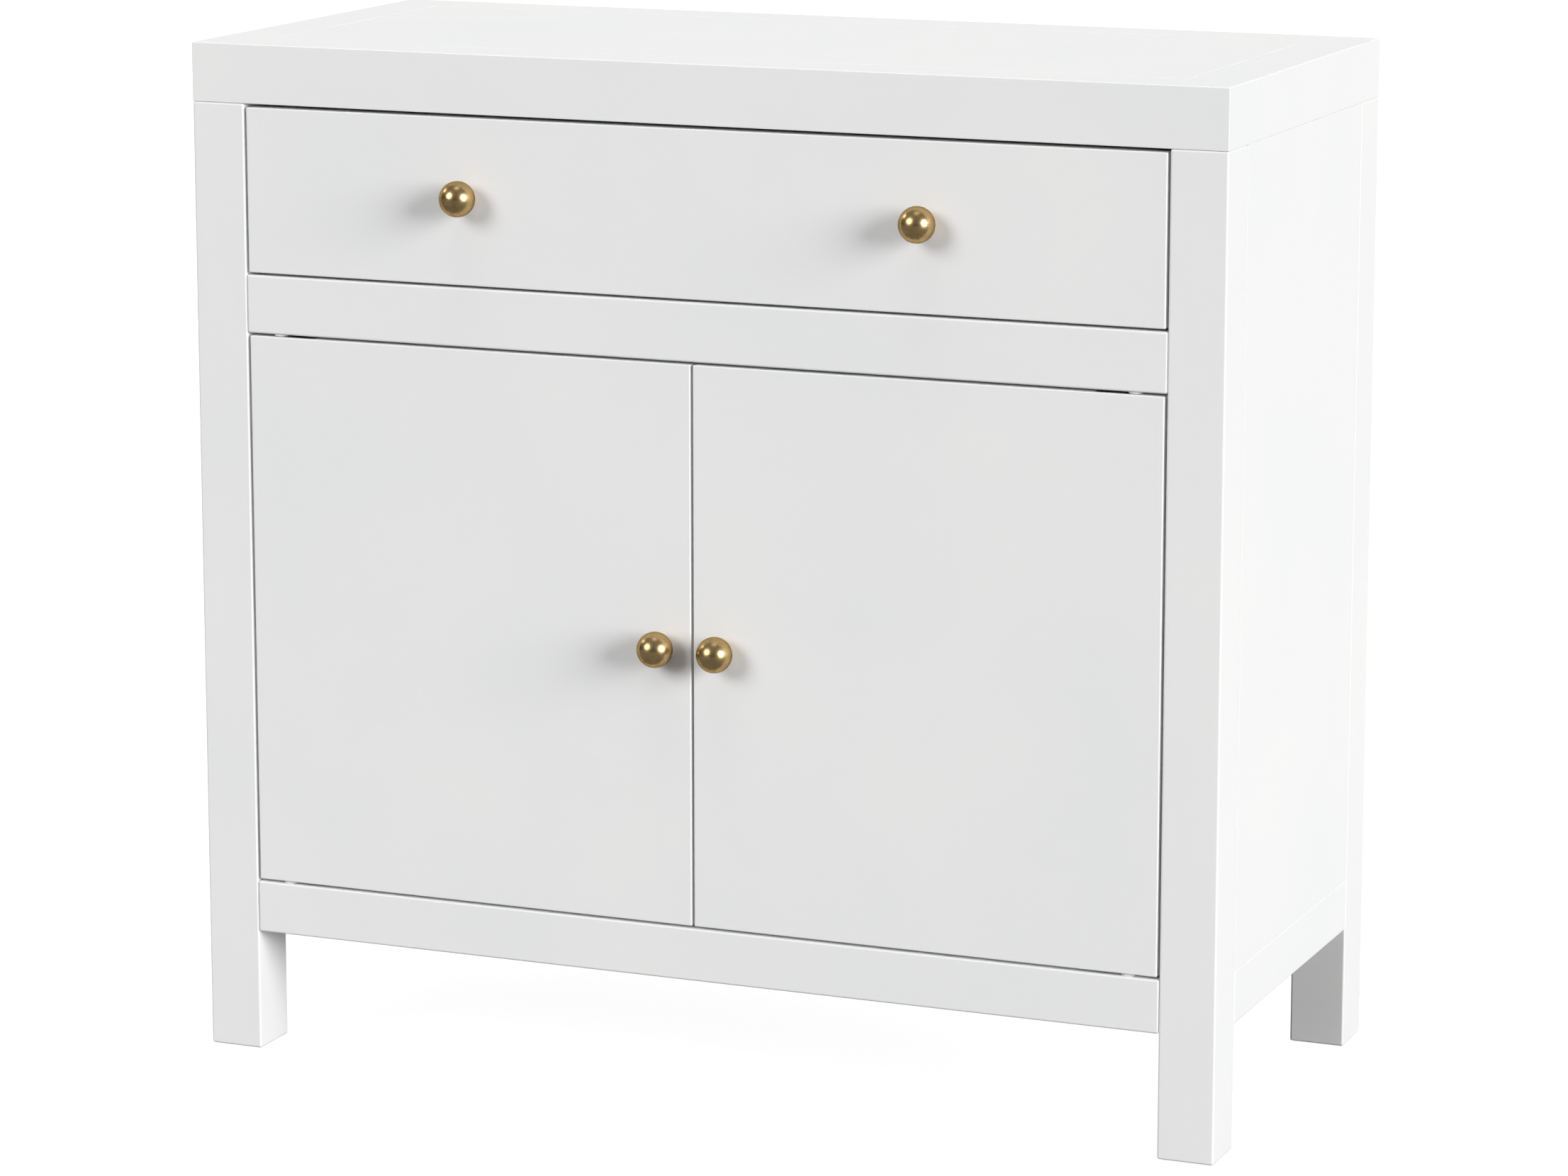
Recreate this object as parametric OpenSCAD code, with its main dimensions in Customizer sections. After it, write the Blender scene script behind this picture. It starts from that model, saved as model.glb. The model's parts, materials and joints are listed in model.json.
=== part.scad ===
// Apothecary cabinet: one drawer on ball runners over a two-door cupboard with a shelf.
// +X is the right-hand side, -Y is the front, +Z is up, and the feet stand on z = 0.
// The origin is midway between the knob tips and the back.

/* [Overall] */
// Width across the legs and the top
body_w = 914; // [760:1:1100]
// Depth from the fronts to the back
body_d = 414; // [345:1:520]
// Height from the floor to the top
body_h = 874; // [725:1:1060]

/* [Top] */
// Thickness of the top's frame
top_t = 50; // [36:1:64]
// Width of the top's frame as seen from above
top_rail_w = 50; // [40:1:70]
// Width of the ledge under the inset panel
top_ledge = 10; // [6:1:14]
// Thickness of the inset panel
top_panel_t = 18; // [12:1:24]

/* [Legs and rails] */
// Width of a leg as seen from the front
leg_w = 48; // [38:1:60]
// Depth of a leg as seen from the side
leg_d = 50; // [40:1:62]
// Open height under the bottom rails
foot_gap = 106; // [60:1:140]
// Height of the bottom rails
bottom_rail_h = 45; // [36:0.5:60]
// Height of the rail between drawer and doors
mid_rail_h = 49.5; // [40:0.5:62]
// Height of the rail along the top of the back
back_rail_h = 50; // [40:1:70]
// Thickness of every rail
rail_t = 22; // [20:1:26]
// Diameter of a foot glide
glide_d = 22; // [16:1:30]
// How far a glide stands proud of its leg
glide_proud = 1; // [0.5:0.5:3]
// How deep a glide is let into its leg
glide_seat = 3; // [2:0.5:6]

/* [Panels] */
// Thickness of the side panels
side_panel_t = 16; // [14:1:20]
// Thickness of the cupboard floor and the panel over the cupboard
deck_t = 16; // [12:1:20]
// Thickness of the back panel
back_panel_t = 6; // [4:0.5:8]
// How far the back panel is set in from the back
back_inset = 4; // [2:0.5:6]
// Depth of the grooves that hold the back panel
back_groove = 8; // [5:1:10]
// Clearance of a panel in its groove
groove_clear = 0.25; // [0.1:0.05:0.4]
// Side of the square strips under the top
top_cleat = 20; // [16:1:24]
// Diameter of the dowels
dowel_d = 8; // [6:1:10]
// Length of the dowels
dowel_l = 36; // [30:1:40]

/* [Shelf] */
// Thickness of the shelf
shelf_t = 18; // [14:1:22]
// Gap from the shelf to the side panels
shelf_gap = 1; // [0.8:0.1:3]
// Gap from the shelf to the legs
shelf_leg_gap = 1.5; // [1:0.5:5]
// Diameter of the shelf pins and of their holes
pin_d = 5; // [4:0.5:6]
// Depth of the holes for the shelf pins
pin_hole_l = 10; // [8:0.5:12]
// Distance between holes up the side
pin_pitch = 32; // [25:1:40]
// Number of holes in a column
pin_holes = 5; // [1:2:9]
// Distance from a leg to the nearest column of holes
pin_column = 37; // [25:1:60]

/* [Fronts] */
// Height of the drawer opening
drawer_opening = 145; // [120:1:190]
// Thickness of the drawer front and the doors
front_t = 20; // [18:1:24]
// Gap round the drawer front and the doors
front_gap = 2.2; // [1.8:0.1:3]
// Gap between the drawer front and the top
top_gap = 3; // [2:0.5:5]

/* [Knobs] */
// Diameter of the ball knobs
knob_d = 30; // [24:1:38]
// Distance from the front to the middle of the ball
knob_out = 16; // [14:0.5:24]
// Diameter of a knob's neck
knob_neck_d = 12; // [9:1:16]
// Distance between the drawer knobs
knob_spacing = 406; // [250:1:500]
// Height of the drawer knobs above the drawer front's lower edge
drawer_knob_up = 74.3; // [50:0.1:95]
// Distance from a door's free edge to its knob
door_knob_in = 25.6; // [20:0.1:45]
// Diameter of the knob screws
knob_screw_d = 4; // [3:0.5:5]
// Depth of a knob's threaded hole
knob_thread = 12; // [8:1:16]

/* [Drawer box] */
// Thickness of the drawer's sides, front and back
box_t = 12; // [10:1:15]
// Height of the drawer box
box_h = 110; // [80:1:118]
// Height of the drawer box above the middle rail
box_lift = 11; // [6:1:20]
// Thickness of the drawer's bottom
box_bottom_t = 6; // [4:0.5:8]
// Height of the drawer's bottom above the lower edge of the sides
box_bottom_up = 10; // [8:1:14]
// Depth of the grooves that hold the drawer's bottom
box_groove = 6; // [4:0.5:7]

/* [Runners] */
// Height of a runner
runner_h = 45; // [42:1:54]
// Width of a closed runner, from the cabinet to the drawer
runner_w = 12.7; // [12.2:0.1:14]
// Length step of stock runners
runner_step = 50; // [25:25:50]
// Gap between the drawer front and a runner
runner_gap = 4; // [2:0.5:8]
// Least free depth between a closed drawer and the back's top rail
runner_rear = 5; // [4:1:20]
// Thickness of the runners' sheet steel
sheet_t = 1.2; // [1:0.1:1.4]
// Diameter of the balls
ball_d = 3.3; // [2.8:0.1:3.6]
// Clearance of the balls and between members
ball_gap = 0.3; // [0.25:0.05:0.4]
// Number of balls in a row
ball_count = 9; // [5:1:11]
// Distance between balls
ball_pitch = 10; // [7:1:12]
// Distance from a runner's front end to its first balls
cage_in = 125; // [105:1:130]

/* [Door pivots] */
// Distance from a door's hinged edge to the pivot
pivot_in = 26; // [20:0.5:34]
// Distance from the front to the pivot
pivot_back = 8; // [7.5:0.5:9]
// Diameter of the pivot pins
pivot_d = 6; // [5:0.5:7]
// Radial clearance of the pins in their bushes
pivot_clear = 0.05; // [0.03:0.01:0.08]
// Length of a pin inside its door
pivot_l = 25; // [15:1:40]
// Length of a pin beyond its door
pivot_reach = 9; // [6:0.5:11]
// Diameter of a bush
bush_d = 10; // [9:0.5:11]
// Depth of a bush in its rail
bush_l = 12; // [10:1:16]
// Diameter of a bush's flange
bush_flange_d = 12; // [11.5:0.5:14]
// Clearance from a bush's flange to the door
bush_gap = 0.4; // [0.3:0.05:0.6]

/* [Hardware] */
// Length of a pivot plate
plate_l = 38; // [32:1:50]
// Width of a pivot plate
plate_w = 12; // [10:1:14]
// Thickness of a pivot plate
plate_t = 2; // [1.5:0.5:3]
// Diameter of the small screws
screw_d = 3.5; // [3:0.5:4.5]
// Diameter of the small screws' heads
screw_head_d = 6.5; // [6:0.5:8]
// Width of a magnetic catch
catch_w = 40; // [32:1:50]
// Depth of a magnetic catch
catch_d = 18; // [14:1:24]
// Height of a magnetic catch
catch_h = 14; // [12:1:18]
// Distance from the middle of the cabinet to a catch
catch_x = 50; // [40:1:90]
// Thickness of a strike plate
strike_t = 1.2; // [1:0.1:1.6]
// Gap between a closed strike plate and its catch
catch_gap = 0.8; // [0.5:0.1:2]
// Distance between the two wall-strap holes in the back
strap_spacing = 400; // [200:1:500]
// Diameter of the wall-strap holes
strap_hole_d = 5; // [4:0.5:6.5]

/* [Hidden] */
$fn = 48;
over = 1; // how far a cut runs past a face

// main planes
knob_reach = knob_out + knob_d / 2;
half_w = body_w / 2;
front_y = -(body_d - knob_reach) / 2;
back_y = front_y + body_d;
mid_y = (front_y + back_y) / 2;
leg_x = half_w - leg_w;
panel_x = half_w - side_panel_t;
leg_front_y = front_y + leg_d;
leg_back_y = back_y - leg_d;
between_legs = leg_back_y - leg_front_y;
top_z = body_h - top_t;
rail_top_z = foot_gap + bottom_rail_h;
mid_top_z = top_z - drawer_opening;
mid_rail_z = mid_top_z - mid_rail_h;
back_y_in = back_y - back_inset - back_panel_t;

// fronts
drawer_z = mid_top_z + front_gap;
drawer_h = top_z - top_gap - drawer_z;
front_x = leg_x - front_gap;
door_w = front_x - front_gap / 2;
door_z = rail_top_z + front_gap;
door_h = mid_rail_z - front_gap - door_z;
knob_z = drawer_z + drawer_knob_up;
door_knob_x = front_gap / 2 + door_knob_in;
door_knob_z = door_z + door_h / 2;
front_back_y = front_y + front_t;

// shelf
pin_clear = 0.05;
pin_l = 8;
pin_flange_t = 0.8;
pin_flange_rim = 2;
pin_flange_d = pin_d + 2 * pin_flange_rim;
shelf_pin_z = (rail_top_z + mid_rail_z) / 2;
shelf_z = shelf_pin_z + pin_d / 2;
pin_ys = [leg_front_y + pin_column, leg_back_y - pin_column];
pin_steps = [-(pin_holes - 1) / 2 : (pin_holes - 1) / 2];

// runners, measured across from the leg and up from the runner's middle
runner_room = body_d - front_t - runner_gap - runner_rear - rail_t;
runner_l = runner_step * floor(runner_room / runner_step);
runner_y = front_back_y + runner_gap;
runner_z = mid_top_z + box_lift + box_h / 2;
ball_room = ball_d + 2 * ball_gap;
middle_h = runner_h - 2 * (sheet_t + ball_room);
inner_h = middle_h - 2 * (sheet_t + ball_room);
outer_row = runner_h / 2 - sheet_t - ball_room / 2;
inner_row = middle_h / 2 - sheet_t - ball_room / 2;
cage_t = 0.6;
cage_l = ball_count * ball_pitch;
outer_cage_u = sheet_t + ball_gap;
middle_u = outer_cage_u + cage_t + ball_gap;
inner_cage_u = middle_u + sheet_t + ball_gap;
inner_u = inner_cage_u + cage_t + ball_gap;
cage_lip = 7.5;
ball_on_lip = 0.7; // place of a ball's middle, as a share of the lip
outer_short = 2.2; // how far the outer member stops short of the drawer
middle_short = 1.7; // the same for the middle member
cleat_rim = 12.5;
cleat_h = runner_h + 2 * cleat_rim;
cleat_screw_clear = 7;
cleat_screw_up = runner_h / 2 + cleat_screw_clear;
screw_skin = 1; // what a runner's screw leaves of the drawer side
runner_screws = [leg_front_y + between_legs / 8, leg_back_y - between_legs / 4];

// drawer box
box_x = leg_x - runner_w;
box_in_x = box_x - box_t;
box_y = front_back_y;
box_d = runner_gap + runner_l;
box_z = mid_top_z + box_lift;
box_bottom_z = box_z + box_bottom_up;
knob_head_h = 2.5;
knob_screw_spare = 2; // what a knob's screw leaves of its threaded hole
front_screw_in = 12;
front_screw_share = 0.85;
front_screw_x = [for (s = [-1, 1]) s * front_screw_share * box_in_x];
front_screw_z = [box_z + box_h / 4, box_z + box_h * 3 / 4];

// door pivots, catches and small screws
pivot_x = front_x - pivot_in;
pivot_y = front_y + pivot_back;
plate_rim = 1.5;
plate_edge = pivot_d / 2 + plate_rim;
plate_y = pivot_y - plate_edge;
plate_screws = [plate_l / 3, plate_l * 2 / 3];
small_screw_l = 14;
strike_trim = [6, 2]; // how much a strike plate is narrower and lower than its catch
strike_down = 1.5;
strike_w = catch_w - strike_trim[0];
strike_h = catch_h - strike_trim[1];
strike_z = door_z + door_h - strike_h - strike_down;
catch_y = front_back_y + strike_t + catch_gap;
catch_hole = catch_w / 3;
catch_hole_share = 0.6; // place of a catch's screws, as a share of its depth
catch_screw_skin = 4; // what a catch's screw leaves of the panel
top_screws = [for (k = [-1:1]) mid_y + k * between_legs / 3];
top_screw_l = 40;
cleat_screw_bite = 8;
cleat_screw_l = leg_w - side_panel_t + cleat_screw_bite;

// dowel places: [x, y, z] of each joint's face
bottom_zs = [foot_gap + bottom_rail_h / 4, foot_gap + bottom_rail_h * 3 / 4];
mid_zs = [mid_rail_z + mid_rail_h / 4, mid_rail_z + mid_rail_h * 3 / 4];
back_zs = [top_z - back_rail_h / 4, top_z - back_rail_h * 3 / 4];
panel_zs = [for (k = [1:4]) rail_top_z + (top_z - rail_top_z) * k / 5];
back_dowel_y = back_y - (back_inset + back_panel_t + rail_t) / 2;
cross_dowels = concat(
    [for (z = concat(bottom_zs, mid_zs)) [leg_x, front_y + rail_t / 2, z]],
    [for (z = concat(bottom_zs, back_zs)) [leg_x, back_dowel_y, z]]
);
side_dowels = concat(
    [for (y = [leg_front_y, leg_back_y], z = bottom_zs) [half_w - rail_t / 2, y, z]],
    [for (y = [leg_front_y, leg_back_y], z = panel_zs) [half_w - side_panel_t / 2, y, z]]
);
top_dowel_share = [0.3, 0.74]; // place in a leg, as a share of its width and depth
top_dowels = [
    [half_w - leg_w * top_dowel_share[0], front_y + leg_d * top_dowel_share[1], top_z],
    [half_w - leg_w * top_dowel_share[0], back_y - leg_d * top_dowel_share[1], top_z]
];

lacquer = [0.93, 0.93, 0.92];
board = [0.90, 0.90, 0.89];
hardboard = [0.62, 0.47, 0.33];
beech = [0.85, 0.70, 0.50];
brass = [0.78, 0.62, 0.36];
zinc = [0.75, 0.77, 0.79];
black_nylon = [0.20, 0.20, 0.21];
white_nylon = [0.88, 0.88, 0.86];

// ---------- shared shapes ----------

// copies to the left, to the right, or to both sides
module on_side(side) {
    if (side < 0) mirror([1, 0, 0]) children();
    else children();
}

module both_sides() {
    on_side(-1) children();
    on_side(1) children();
}

module box_between(low, high) {
    translate(low) cube(high - low);
}

// countersunk screw that points along +Z, head face at z = 0
module screw(d, head_d, l) {
    head_h = (head_d - d) / 2;
    cylinder(d1 = head_d, d2 = d, h = head_h);
    cylinder(d = d, h = l);
}

// pan-head machine screw that points along -Y, head behind y = 0
module machine_screw(d, l) {
    rotate([90, 0, 0]) cylinder(d = d, h = l);
    rotate([-90, 0, 0]) cylinder(d = 2 * d, h = knob_head_h);
}

module small_screw(l) {
    screw(screw_d, screw_head_d, l);
}

// panel with its corners cut out round the legs
module notched_panel(half_x, y0, y1, z, t) {
    translate([0, 0, z]) linear_extrude(t) polygon([
        [-leg_x, y0], [leg_x, y0], [leg_x, leg_front_y], [half_x, leg_front_y],
        [half_x, min(y1, leg_back_y)], [leg_x, min(y1, leg_back_y)], [leg_x, y1],
        [-leg_x, y1], [-leg_x, min(y1, leg_back_y)], [-half_x, min(y1, leg_back_y)],
        [-half_x, leg_front_y], [-leg_x, leg_front_y]
    ]);
}

// ---------- top ----------

module mitred_plan(l, w) {
    polygon([[-l / 2, 0], [l / 2, 0], [l / 2 - w, w], [w - l / 2, w]]);
}

// frame member with mitred ends and a ledge, outer face on y = 0
module top_rail(l) {
    linear_extrude(top_t - top_panel_t) mitred_plan(l, top_rail_w + top_ledge);
    linear_extrude(top_t) mitred_plan(l, top_rail_w);
}

module top_rail_side(side) {
    color(lacquer) on_side(side) difference() {
        translate([half_w, mid_y, top_z]) rotate([0, 0, 90]) top_rail(body_d);
        dowel_set(top_dowels, [0, 0, 0]);
        top_cleat_screws();
    }
}

module top_rail_front() {
    color(lacquer) translate([0, front_y, top_z]) top_rail(body_w);
}

module top_rail_back() {
    color(lacquer) translate([0, back_y, top_z]) mirror([0, 1, 0]) top_rail(body_w);
}

module top_panel() {
    x = half_w - top_rail_w;
    color(lacquer) box_between(
        [-x, front_y + top_rail_w, body_h - top_panel_t],
        [x, back_y - top_rail_w, body_h]
    );
}

// ---------- legs and rails ----------

module dowel_set(places, turn) {
    for (p = places) translate(p) rotate(turn) cylinder(d = dowel_d, h = dowel_l, center = true);
}

module side_joint_dowels() {
    dowel_set(cross_dowels, [0, 90, 0]);
    dowel_set(side_dowels, [90, 0, 0]);
    dowel_set(top_dowels, [0, 0, 0]);
}

module dowels() {
    color(beech) both_sides() side_joint_dowels();
}

module glide(y) {
    translate([half_w - leg_w / 2, y, 0]) cylinder(d = glide_d, h = glide_proud + glide_seat);
}

module foot_glides() {
    color(black_nylon) both_sides() {
        glide(front_y + leg_d / 2);
        glide(back_y - leg_d / 2);
    }
}

module leg(side, y) {
    color(lacquer) on_side(side) difference() {
        box_between([leg_x, y, glide_proud], [half_w, y + leg_d, top_z]);
        glide(y + leg_d / 2);
        side_joint_dowels();
        back_panel_blank(groove_clear);
    }
}

module side_rail(side) {
    color(lacquer) on_side(side) difference() {
        box_between([half_w - rail_t, leg_front_y, foot_gap], [half_w, leg_back_y, rail_top_z]);
        dowel_set(side_dowels, [90, 0, 0]);
    }
}

module side_panel(side) {
    color(lacquer) on_side(side) difference() {
        box_between([panel_x, leg_front_y, rail_top_z], [half_w, leg_back_y, top_z]);
        dowel_set(side_dowels, [90, 0, 0]);
        shelf_pin_holes();
        cleat_screw_set();
    }
}

// rail between two legs
module cross_rail(y, z, h) {
    box_between([-leg_x, y, z], [leg_x, y + rail_t, z + h]);
}

module mid_rail() {
    color(lacquer) difference() {
        cross_rail(front_y, mid_rail_z, mid_rail_h);
        both_sides() {
            dowel_set(cross_dowels, [0, 90, 0]);
            bush_seat(mid_rail_z, 1);
        }
    }
}

module bottom_rail() {
    color(lacquer) difference() {
        cross_rail(front_y, foot_gap, bottom_rail_h);
        both_sides() {
            dowel_set(cross_dowels, [0, 90, 0]);
            bush_seat(rail_top_z, -1);
        }
    }
}

module back_top_rail() {
    color(lacquer) difference() {
        cross_rail(back_y - rail_t, top_z - back_rail_h, back_rail_h);
        both_sides() dowel_set(cross_dowels, [0, 90, 0]);
        back_panel_blank(groove_clear);
        both_sides() translate([strap_spacing / 2, back_y + over, top_z - back_rail_h / 2])
            rotate([90, 0, 0]) cylinder(d = strap_hole_d, h = rail_t + 2 * over);
    }
}

module back_bottom_rail() {
    color(lacquer) difference() {
        cross_rail(back_y - rail_t, foot_gap, bottom_rail_h);
        both_sides() dowel_set(cross_dowels, [0, 90, 0]);
        back_panel_blank(groove_clear);
    }
}

// ---------- panels ----------

module back_panel_blank(clear) {
    x = leg_x + back_groove + clear;
    box_between(
        [-x, back_y_in - clear, rail_top_z - back_groove - clear],
        [x, back_y_in + back_panel_t + clear, top_z - back_rail_h + back_groove + clear]
    );
}

module back_panel() {
    color(hardboard) back_panel_blank(0);
}

module bottom_panel() {
    color(board) notched_panel(
        half_w - rail_t, front_y + rail_t, back_y - rail_t, rail_top_z - deck_t, deck_t);
}

module divider_panel() {
    color(board) difference() {
        notched_panel(panel_x, front_y + rail_t, back_y_in, mid_rail_z, deck_t);
        both_sides() catch_screws();
    }
}

module top_cleat_strip(side) {
    color(beech) on_side(side) difference() {
        box_between([panel_x - top_cleat, leg_front_y, top_z - top_cleat],
                    [panel_x, leg_back_y, top_z]);
        top_cleat_screws();
    }
}

module runner_cleat(side) {
    color(beech) on_side(side) difference() {
        box_between([leg_x, leg_front_y, runner_z - cleat_h / 2],
                    [panel_x, leg_back_y, runner_z + cleat_h / 2]);
        cleat_screw_set();
        runner_outer_screws();
    }
}

module top_cleat_screws() {
    for (y = top_screws) translate([panel_x - top_cleat / 2, y, top_z - top_cleat])
        small_screw(top_screw_l);
}

module cleat_screw_set() {
    for (y = runner_screws, s = [-1, 1]) translate([leg_x, y, runner_z + s * cleat_screw_up])
        rotate([0, 90, 0]) small_screw(cleat_screw_l);
}

module cabinet_screws() {
    color(zinc) both_sides() {
        top_cleat_screws();
        cleat_screw_set();
        runner_outer_screws();
        catch_screws();
    }
}

// ---------- shelf ----------

module shelf() {
    x = panel_x - shelf_gap;
    color(board) box_between([-x, leg_front_y + shelf_leg_gap, shelf_z],
                             [x, leg_back_y - shelf_leg_gap, shelf_z + shelf_t]);
}

module shelf_pin_holes() {
    for (y = pin_ys, k = pin_steps) translate([panel_x - over, y, shelf_pin_z + k * pin_pitch])
        rotate([0, 90, 0]) cylinder(d = pin_d + 2 * pin_clear, h = pin_hole_l + over);
}

module shelf_pins() {
    color(zinc) both_sides() for (y = pin_ys) translate([panel_x, y, shelf_pin_z]) {
        translate([-pin_l, 0, 0]) rotate([0, 90, 0]) cylinder(d = pin_d, h = 2 * pin_l);
        translate([-pin_flange_t, 0, 0]) rotate([0, 90, 0])
            cylinder(d = pin_flange_d, h = pin_flange_t);
    }
}

// ---------- runners ----------

// C-shaped member: web at u0 with thickness t, flanges from u0 to u1
module channel(u0, u1, h, t) {
    translate([leg_x - u1, runner_y, runner_z]) {
        translate([0, 0, h / 2 - t]) cube([u1 - u0, runner_l, t]);
        translate([0, 0, -h / 2]) cube([u1 - u0, runner_l, t]);
    }
}

module web(u, h, t) {
    translate([leg_x - u - t, runner_y, runner_z - h / 2]) cube([t, runner_l, h]);
}

module runner_outer(side) {
    color(zinc) on_side(side) difference() {
        union() {
            channel(0, runner_w - outer_short, runner_h, sheet_t);
            web(0, runner_h, sheet_t);
        }
        runner_outer_screws();
    }
}

module runner_middle(side) {
    color(zinc) on_side(side) {
        channel(middle_u, runner_w - middle_short, middle_h, sheet_t);
        web(middle_u, middle_h, sheet_t);
    }
}

module runner_inner(side) {
    color(zinc) on_side(side) difference() {
        union() {
            channel(inner_u, runner_w, inner_h, sheet_t);
            web(runner_w - sheet_t, inner_h, sheet_t);
        }
        runner_inner_screws();
    }
}

// ball cage: a thin folded strip with a row of balls along each lip
module cage(side, u, row) {
    color(zinc) on_side(side) translate([leg_x - u, runner_y + cage_in, runner_z]) {
        translate([-cage_t, 0, -row]) cube([cage_t, cage_l, 2 * row]);
        for (s = [-1, 1]) {
            translate([-cage_lip, 0, s * row - cage_t / 2]) cube([cage_lip, cage_l, cage_t]);
            for (k = [0 : ball_count - 1])
                translate([-cage_lip * ball_on_lip, (k + 0.5) * ball_pitch, s * row])
                    sphere(d = ball_d);
        }
    }
}

module runner_outer_screws() {
    for (y = runner_screws) translate([leg_x - sheet_t, y, runner_z])
        rotate([0, 90, 0]) small_screw(small_screw_l);
}

module runner_inner_screws() {
    for (y = runner_screws) translate([box_x + sheet_t, y, runner_z])
        rotate([0, -90, 0]) small_screw(box_t - screw_skin);
}

// ---------- drawer ----------

module drawer_front() {
    color(lacquer) difference() {
        box_between([-front_x, front_y, drawer_z], [front_x, front_back_y, drawer_z + drawer_h]);
        drawer_knob_screws();
        drawer_front_screws();
    }
}

module drawer_bottom_blank(clear) {
    x = box_in_x + box_groove + clear;
    box_between(
        [-x, box_y + box_t - box_groove - clear, box_bottom_z - clear],
        [x, box_y + box_d - box_t + box_groove + clear, box_bottom_z + box_bottom_t + clear]
    );
}

module drawer_bottom() {
    color(board) drawer_bottom_blank(0);
}

// cross member of the drawer box, between its sides
module box_cross(y) {
    box_between([-box_in_x, y, box_z], [box_in_x, y + box_t, box_z + box_h]);
}

module drawer_box_front() {
    color(board) difference() {
        box_cross(box_y);
        drawer_bottom_blank(groove_clear);
        drawer_knob_screws();
        drawer_front_screws();
    }
}

module drawer_back() {
    color(board) difference() {
        box_cross(box_y + box_d - box_t);
        drawer_bottom_blank(groove_clear);
    }
}

module drawer_side(side) {
    color(board) on_side(side) difference() {
        box_between([box_in_x, box_y, box_z], [box_x, box_y + box_d, box_z + box_h]);
        drawer_bottom_blank(groove_clear);
        runner_inner_screws();
    }
}

module drawer_knob_screws() {
    both_sides() translate([knob_spacing / 2, box_y + box_t, knob_z])
        machine_screw(knob_screw_d, box_t + front_t + knob_thread - knob_screw_spare);
}

module drawer_front_screws() {
    for (x = front_screw_x, z = front_screw_z) translate([x, box_y + box_t, z])
        rotate([90, 0, 0]) small_screw(box_t + front_screw_in);
}

module drawer_screws() {
    color(zinc) {
        drawer_knob_screws();
        drawer_front_screws();
        both_sides() runner_inner_screws();
    }
}

// ball knob on a short neck, turned about Y
module knob(x, z) {
    translate([x, front_y, z]) difference() {
        rotate([90, 0, 0]) union() {
            cylinder(d = knob_neck_d, h = knob_out);
            translate([0, 0, knob_out]) sphere(d = knob_d);
        }
        translate([0, over, 0]) rotate([90, 0, 0])
            cylinder(d = knob_screw_d, h = knob_thread + over);
        translate([0, knob_d / 2, 0]) cube(knob_d, center = true);
    }
}

module drawer_knob(side) {
    color(brass) on_side(side) knob(knob_spacing / 2, knob_z);
}

// ---------- doors ----------

module door(side) {
    color(lacquer) on_side(side) difference() {
        box_between([front_gap / 2, front_y, door_z], [front_x, front_back_y, door_z + door_h]);
        pivot_pair();
        pivot_screws();
        door_knob_screw();
        strike_screws();
    }
}

module door_knob(side) {
    color(brass) on_side(side) knob(door_knob_x, door_knob_z);
}

module door_knob_screw() {
    translate([door_knob_x, front_back_y, door_knob_z])
        machine_screw(knob_screw_d, front_t + knob_thread - knob_screw_spare);
}

// plate let into a door's edge with its pin; s = 1 points the pin up
module pivot(s) {
    edge = s > 0 ? door_z + door_h : door_z;
    translate([pivot_x, pivot_y, edge]) mirror([0, 0, s > 0 ? 0 : 1]) {
        translate([0, 0, -pivot_l]) cylinder(d = pivot_d, h = pivot_l + pivot_reach);
        translate([-plate_l + plate_edge, -plate_edge, -plate_t])
            cube([plate_l, plate_w, plate_t]);
    }
}

module pivot_pair() {
    pivot(1);
    pivot(-1);
}

module pivot_screws() {
    for (s = [-1, 1], u = plate_screws) {
        edge = s > 0 ? door_z + door_h : door_z;
        translate([pivot_x - u, plate_y + plate_w / 2, edge])
            rotate([s > 0 ? 180 : 0, 0, 0]) small_screw(small_screw_l);
    }
}

module door_pivots(side) {
    color(zinc) on_side(side) difference() {
        pivot_pair();
        pivot_screws();
    }
}

// cut for a bush; s = 1 goes up into the rail, s = -1 goes down
module bush_seat(z, s) {
    translate([pivot_x, pivot_y, z]) mirror([0, 0, s > 0 ? 0 : 1])
        cylinder(d = bush_d, h = bush_l);
}

module bush(z, s) {
    translate([pivot_x, pivot_y, z]) mirror([0, 0, s > 0 ? 0 : 1]) difference() {
        union() {
            cylinder(d = bush_d, h = bush_l);
            translate([0, 0, bush_gap - front_gap])
                cylinder(d = bush_flange_d, h = front_gap - bush_gap);
        }
        translate([0, 0, -front_gap - over])
            cylinder(d = pivot_d + 2 * pivot_clear, h = bush_l + front_gap + 2 * over);
    }
}

module pivot_bushes() {
    color(white_nylon) both_sides() {
        bush(mid_rail_z, 1);
        bush(rail_top_z, -1);
    }
}

module door_catches() {
    color(black_nylon) both_sides() difference() {
        translate([catch_x - catch_w / 2, catch_y, mid_rail_z - catch_h])
            cube([catch_w, catch_d, catch_h]);
        catch_screws();
    }
}

module catch_screws() {
    for (s = [-1, 1]) translate([catch_x + s * catch_hole, catch_y + catch_d * catch_hole_share,
                                 mid_rail_z - catch_h])
        small_screw(catch_h + deck_t - catch_screw_skin);
}

module strike(side) {
    color(zinc) on_side(side) difference() {
        translate([catch_x - strike_w / 2, front_back_y, strike_z])
            cube([strike_w, strike_t, strike_h]);
        strike_screws();
    }
}

module strike_screws() {
    translate([catch_x, front_back_y + strike_t, strike_z + strike_h / 2])
        rotate([90, 0, 0]) small_screw(small_screw_l);
}

module door_screws(side) {
    color(zinc) on_side(side) {
        door_knob_screw();
        pivot_screws();
        strike_screws();
    }
}

// ---------- nodes ----------

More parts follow.
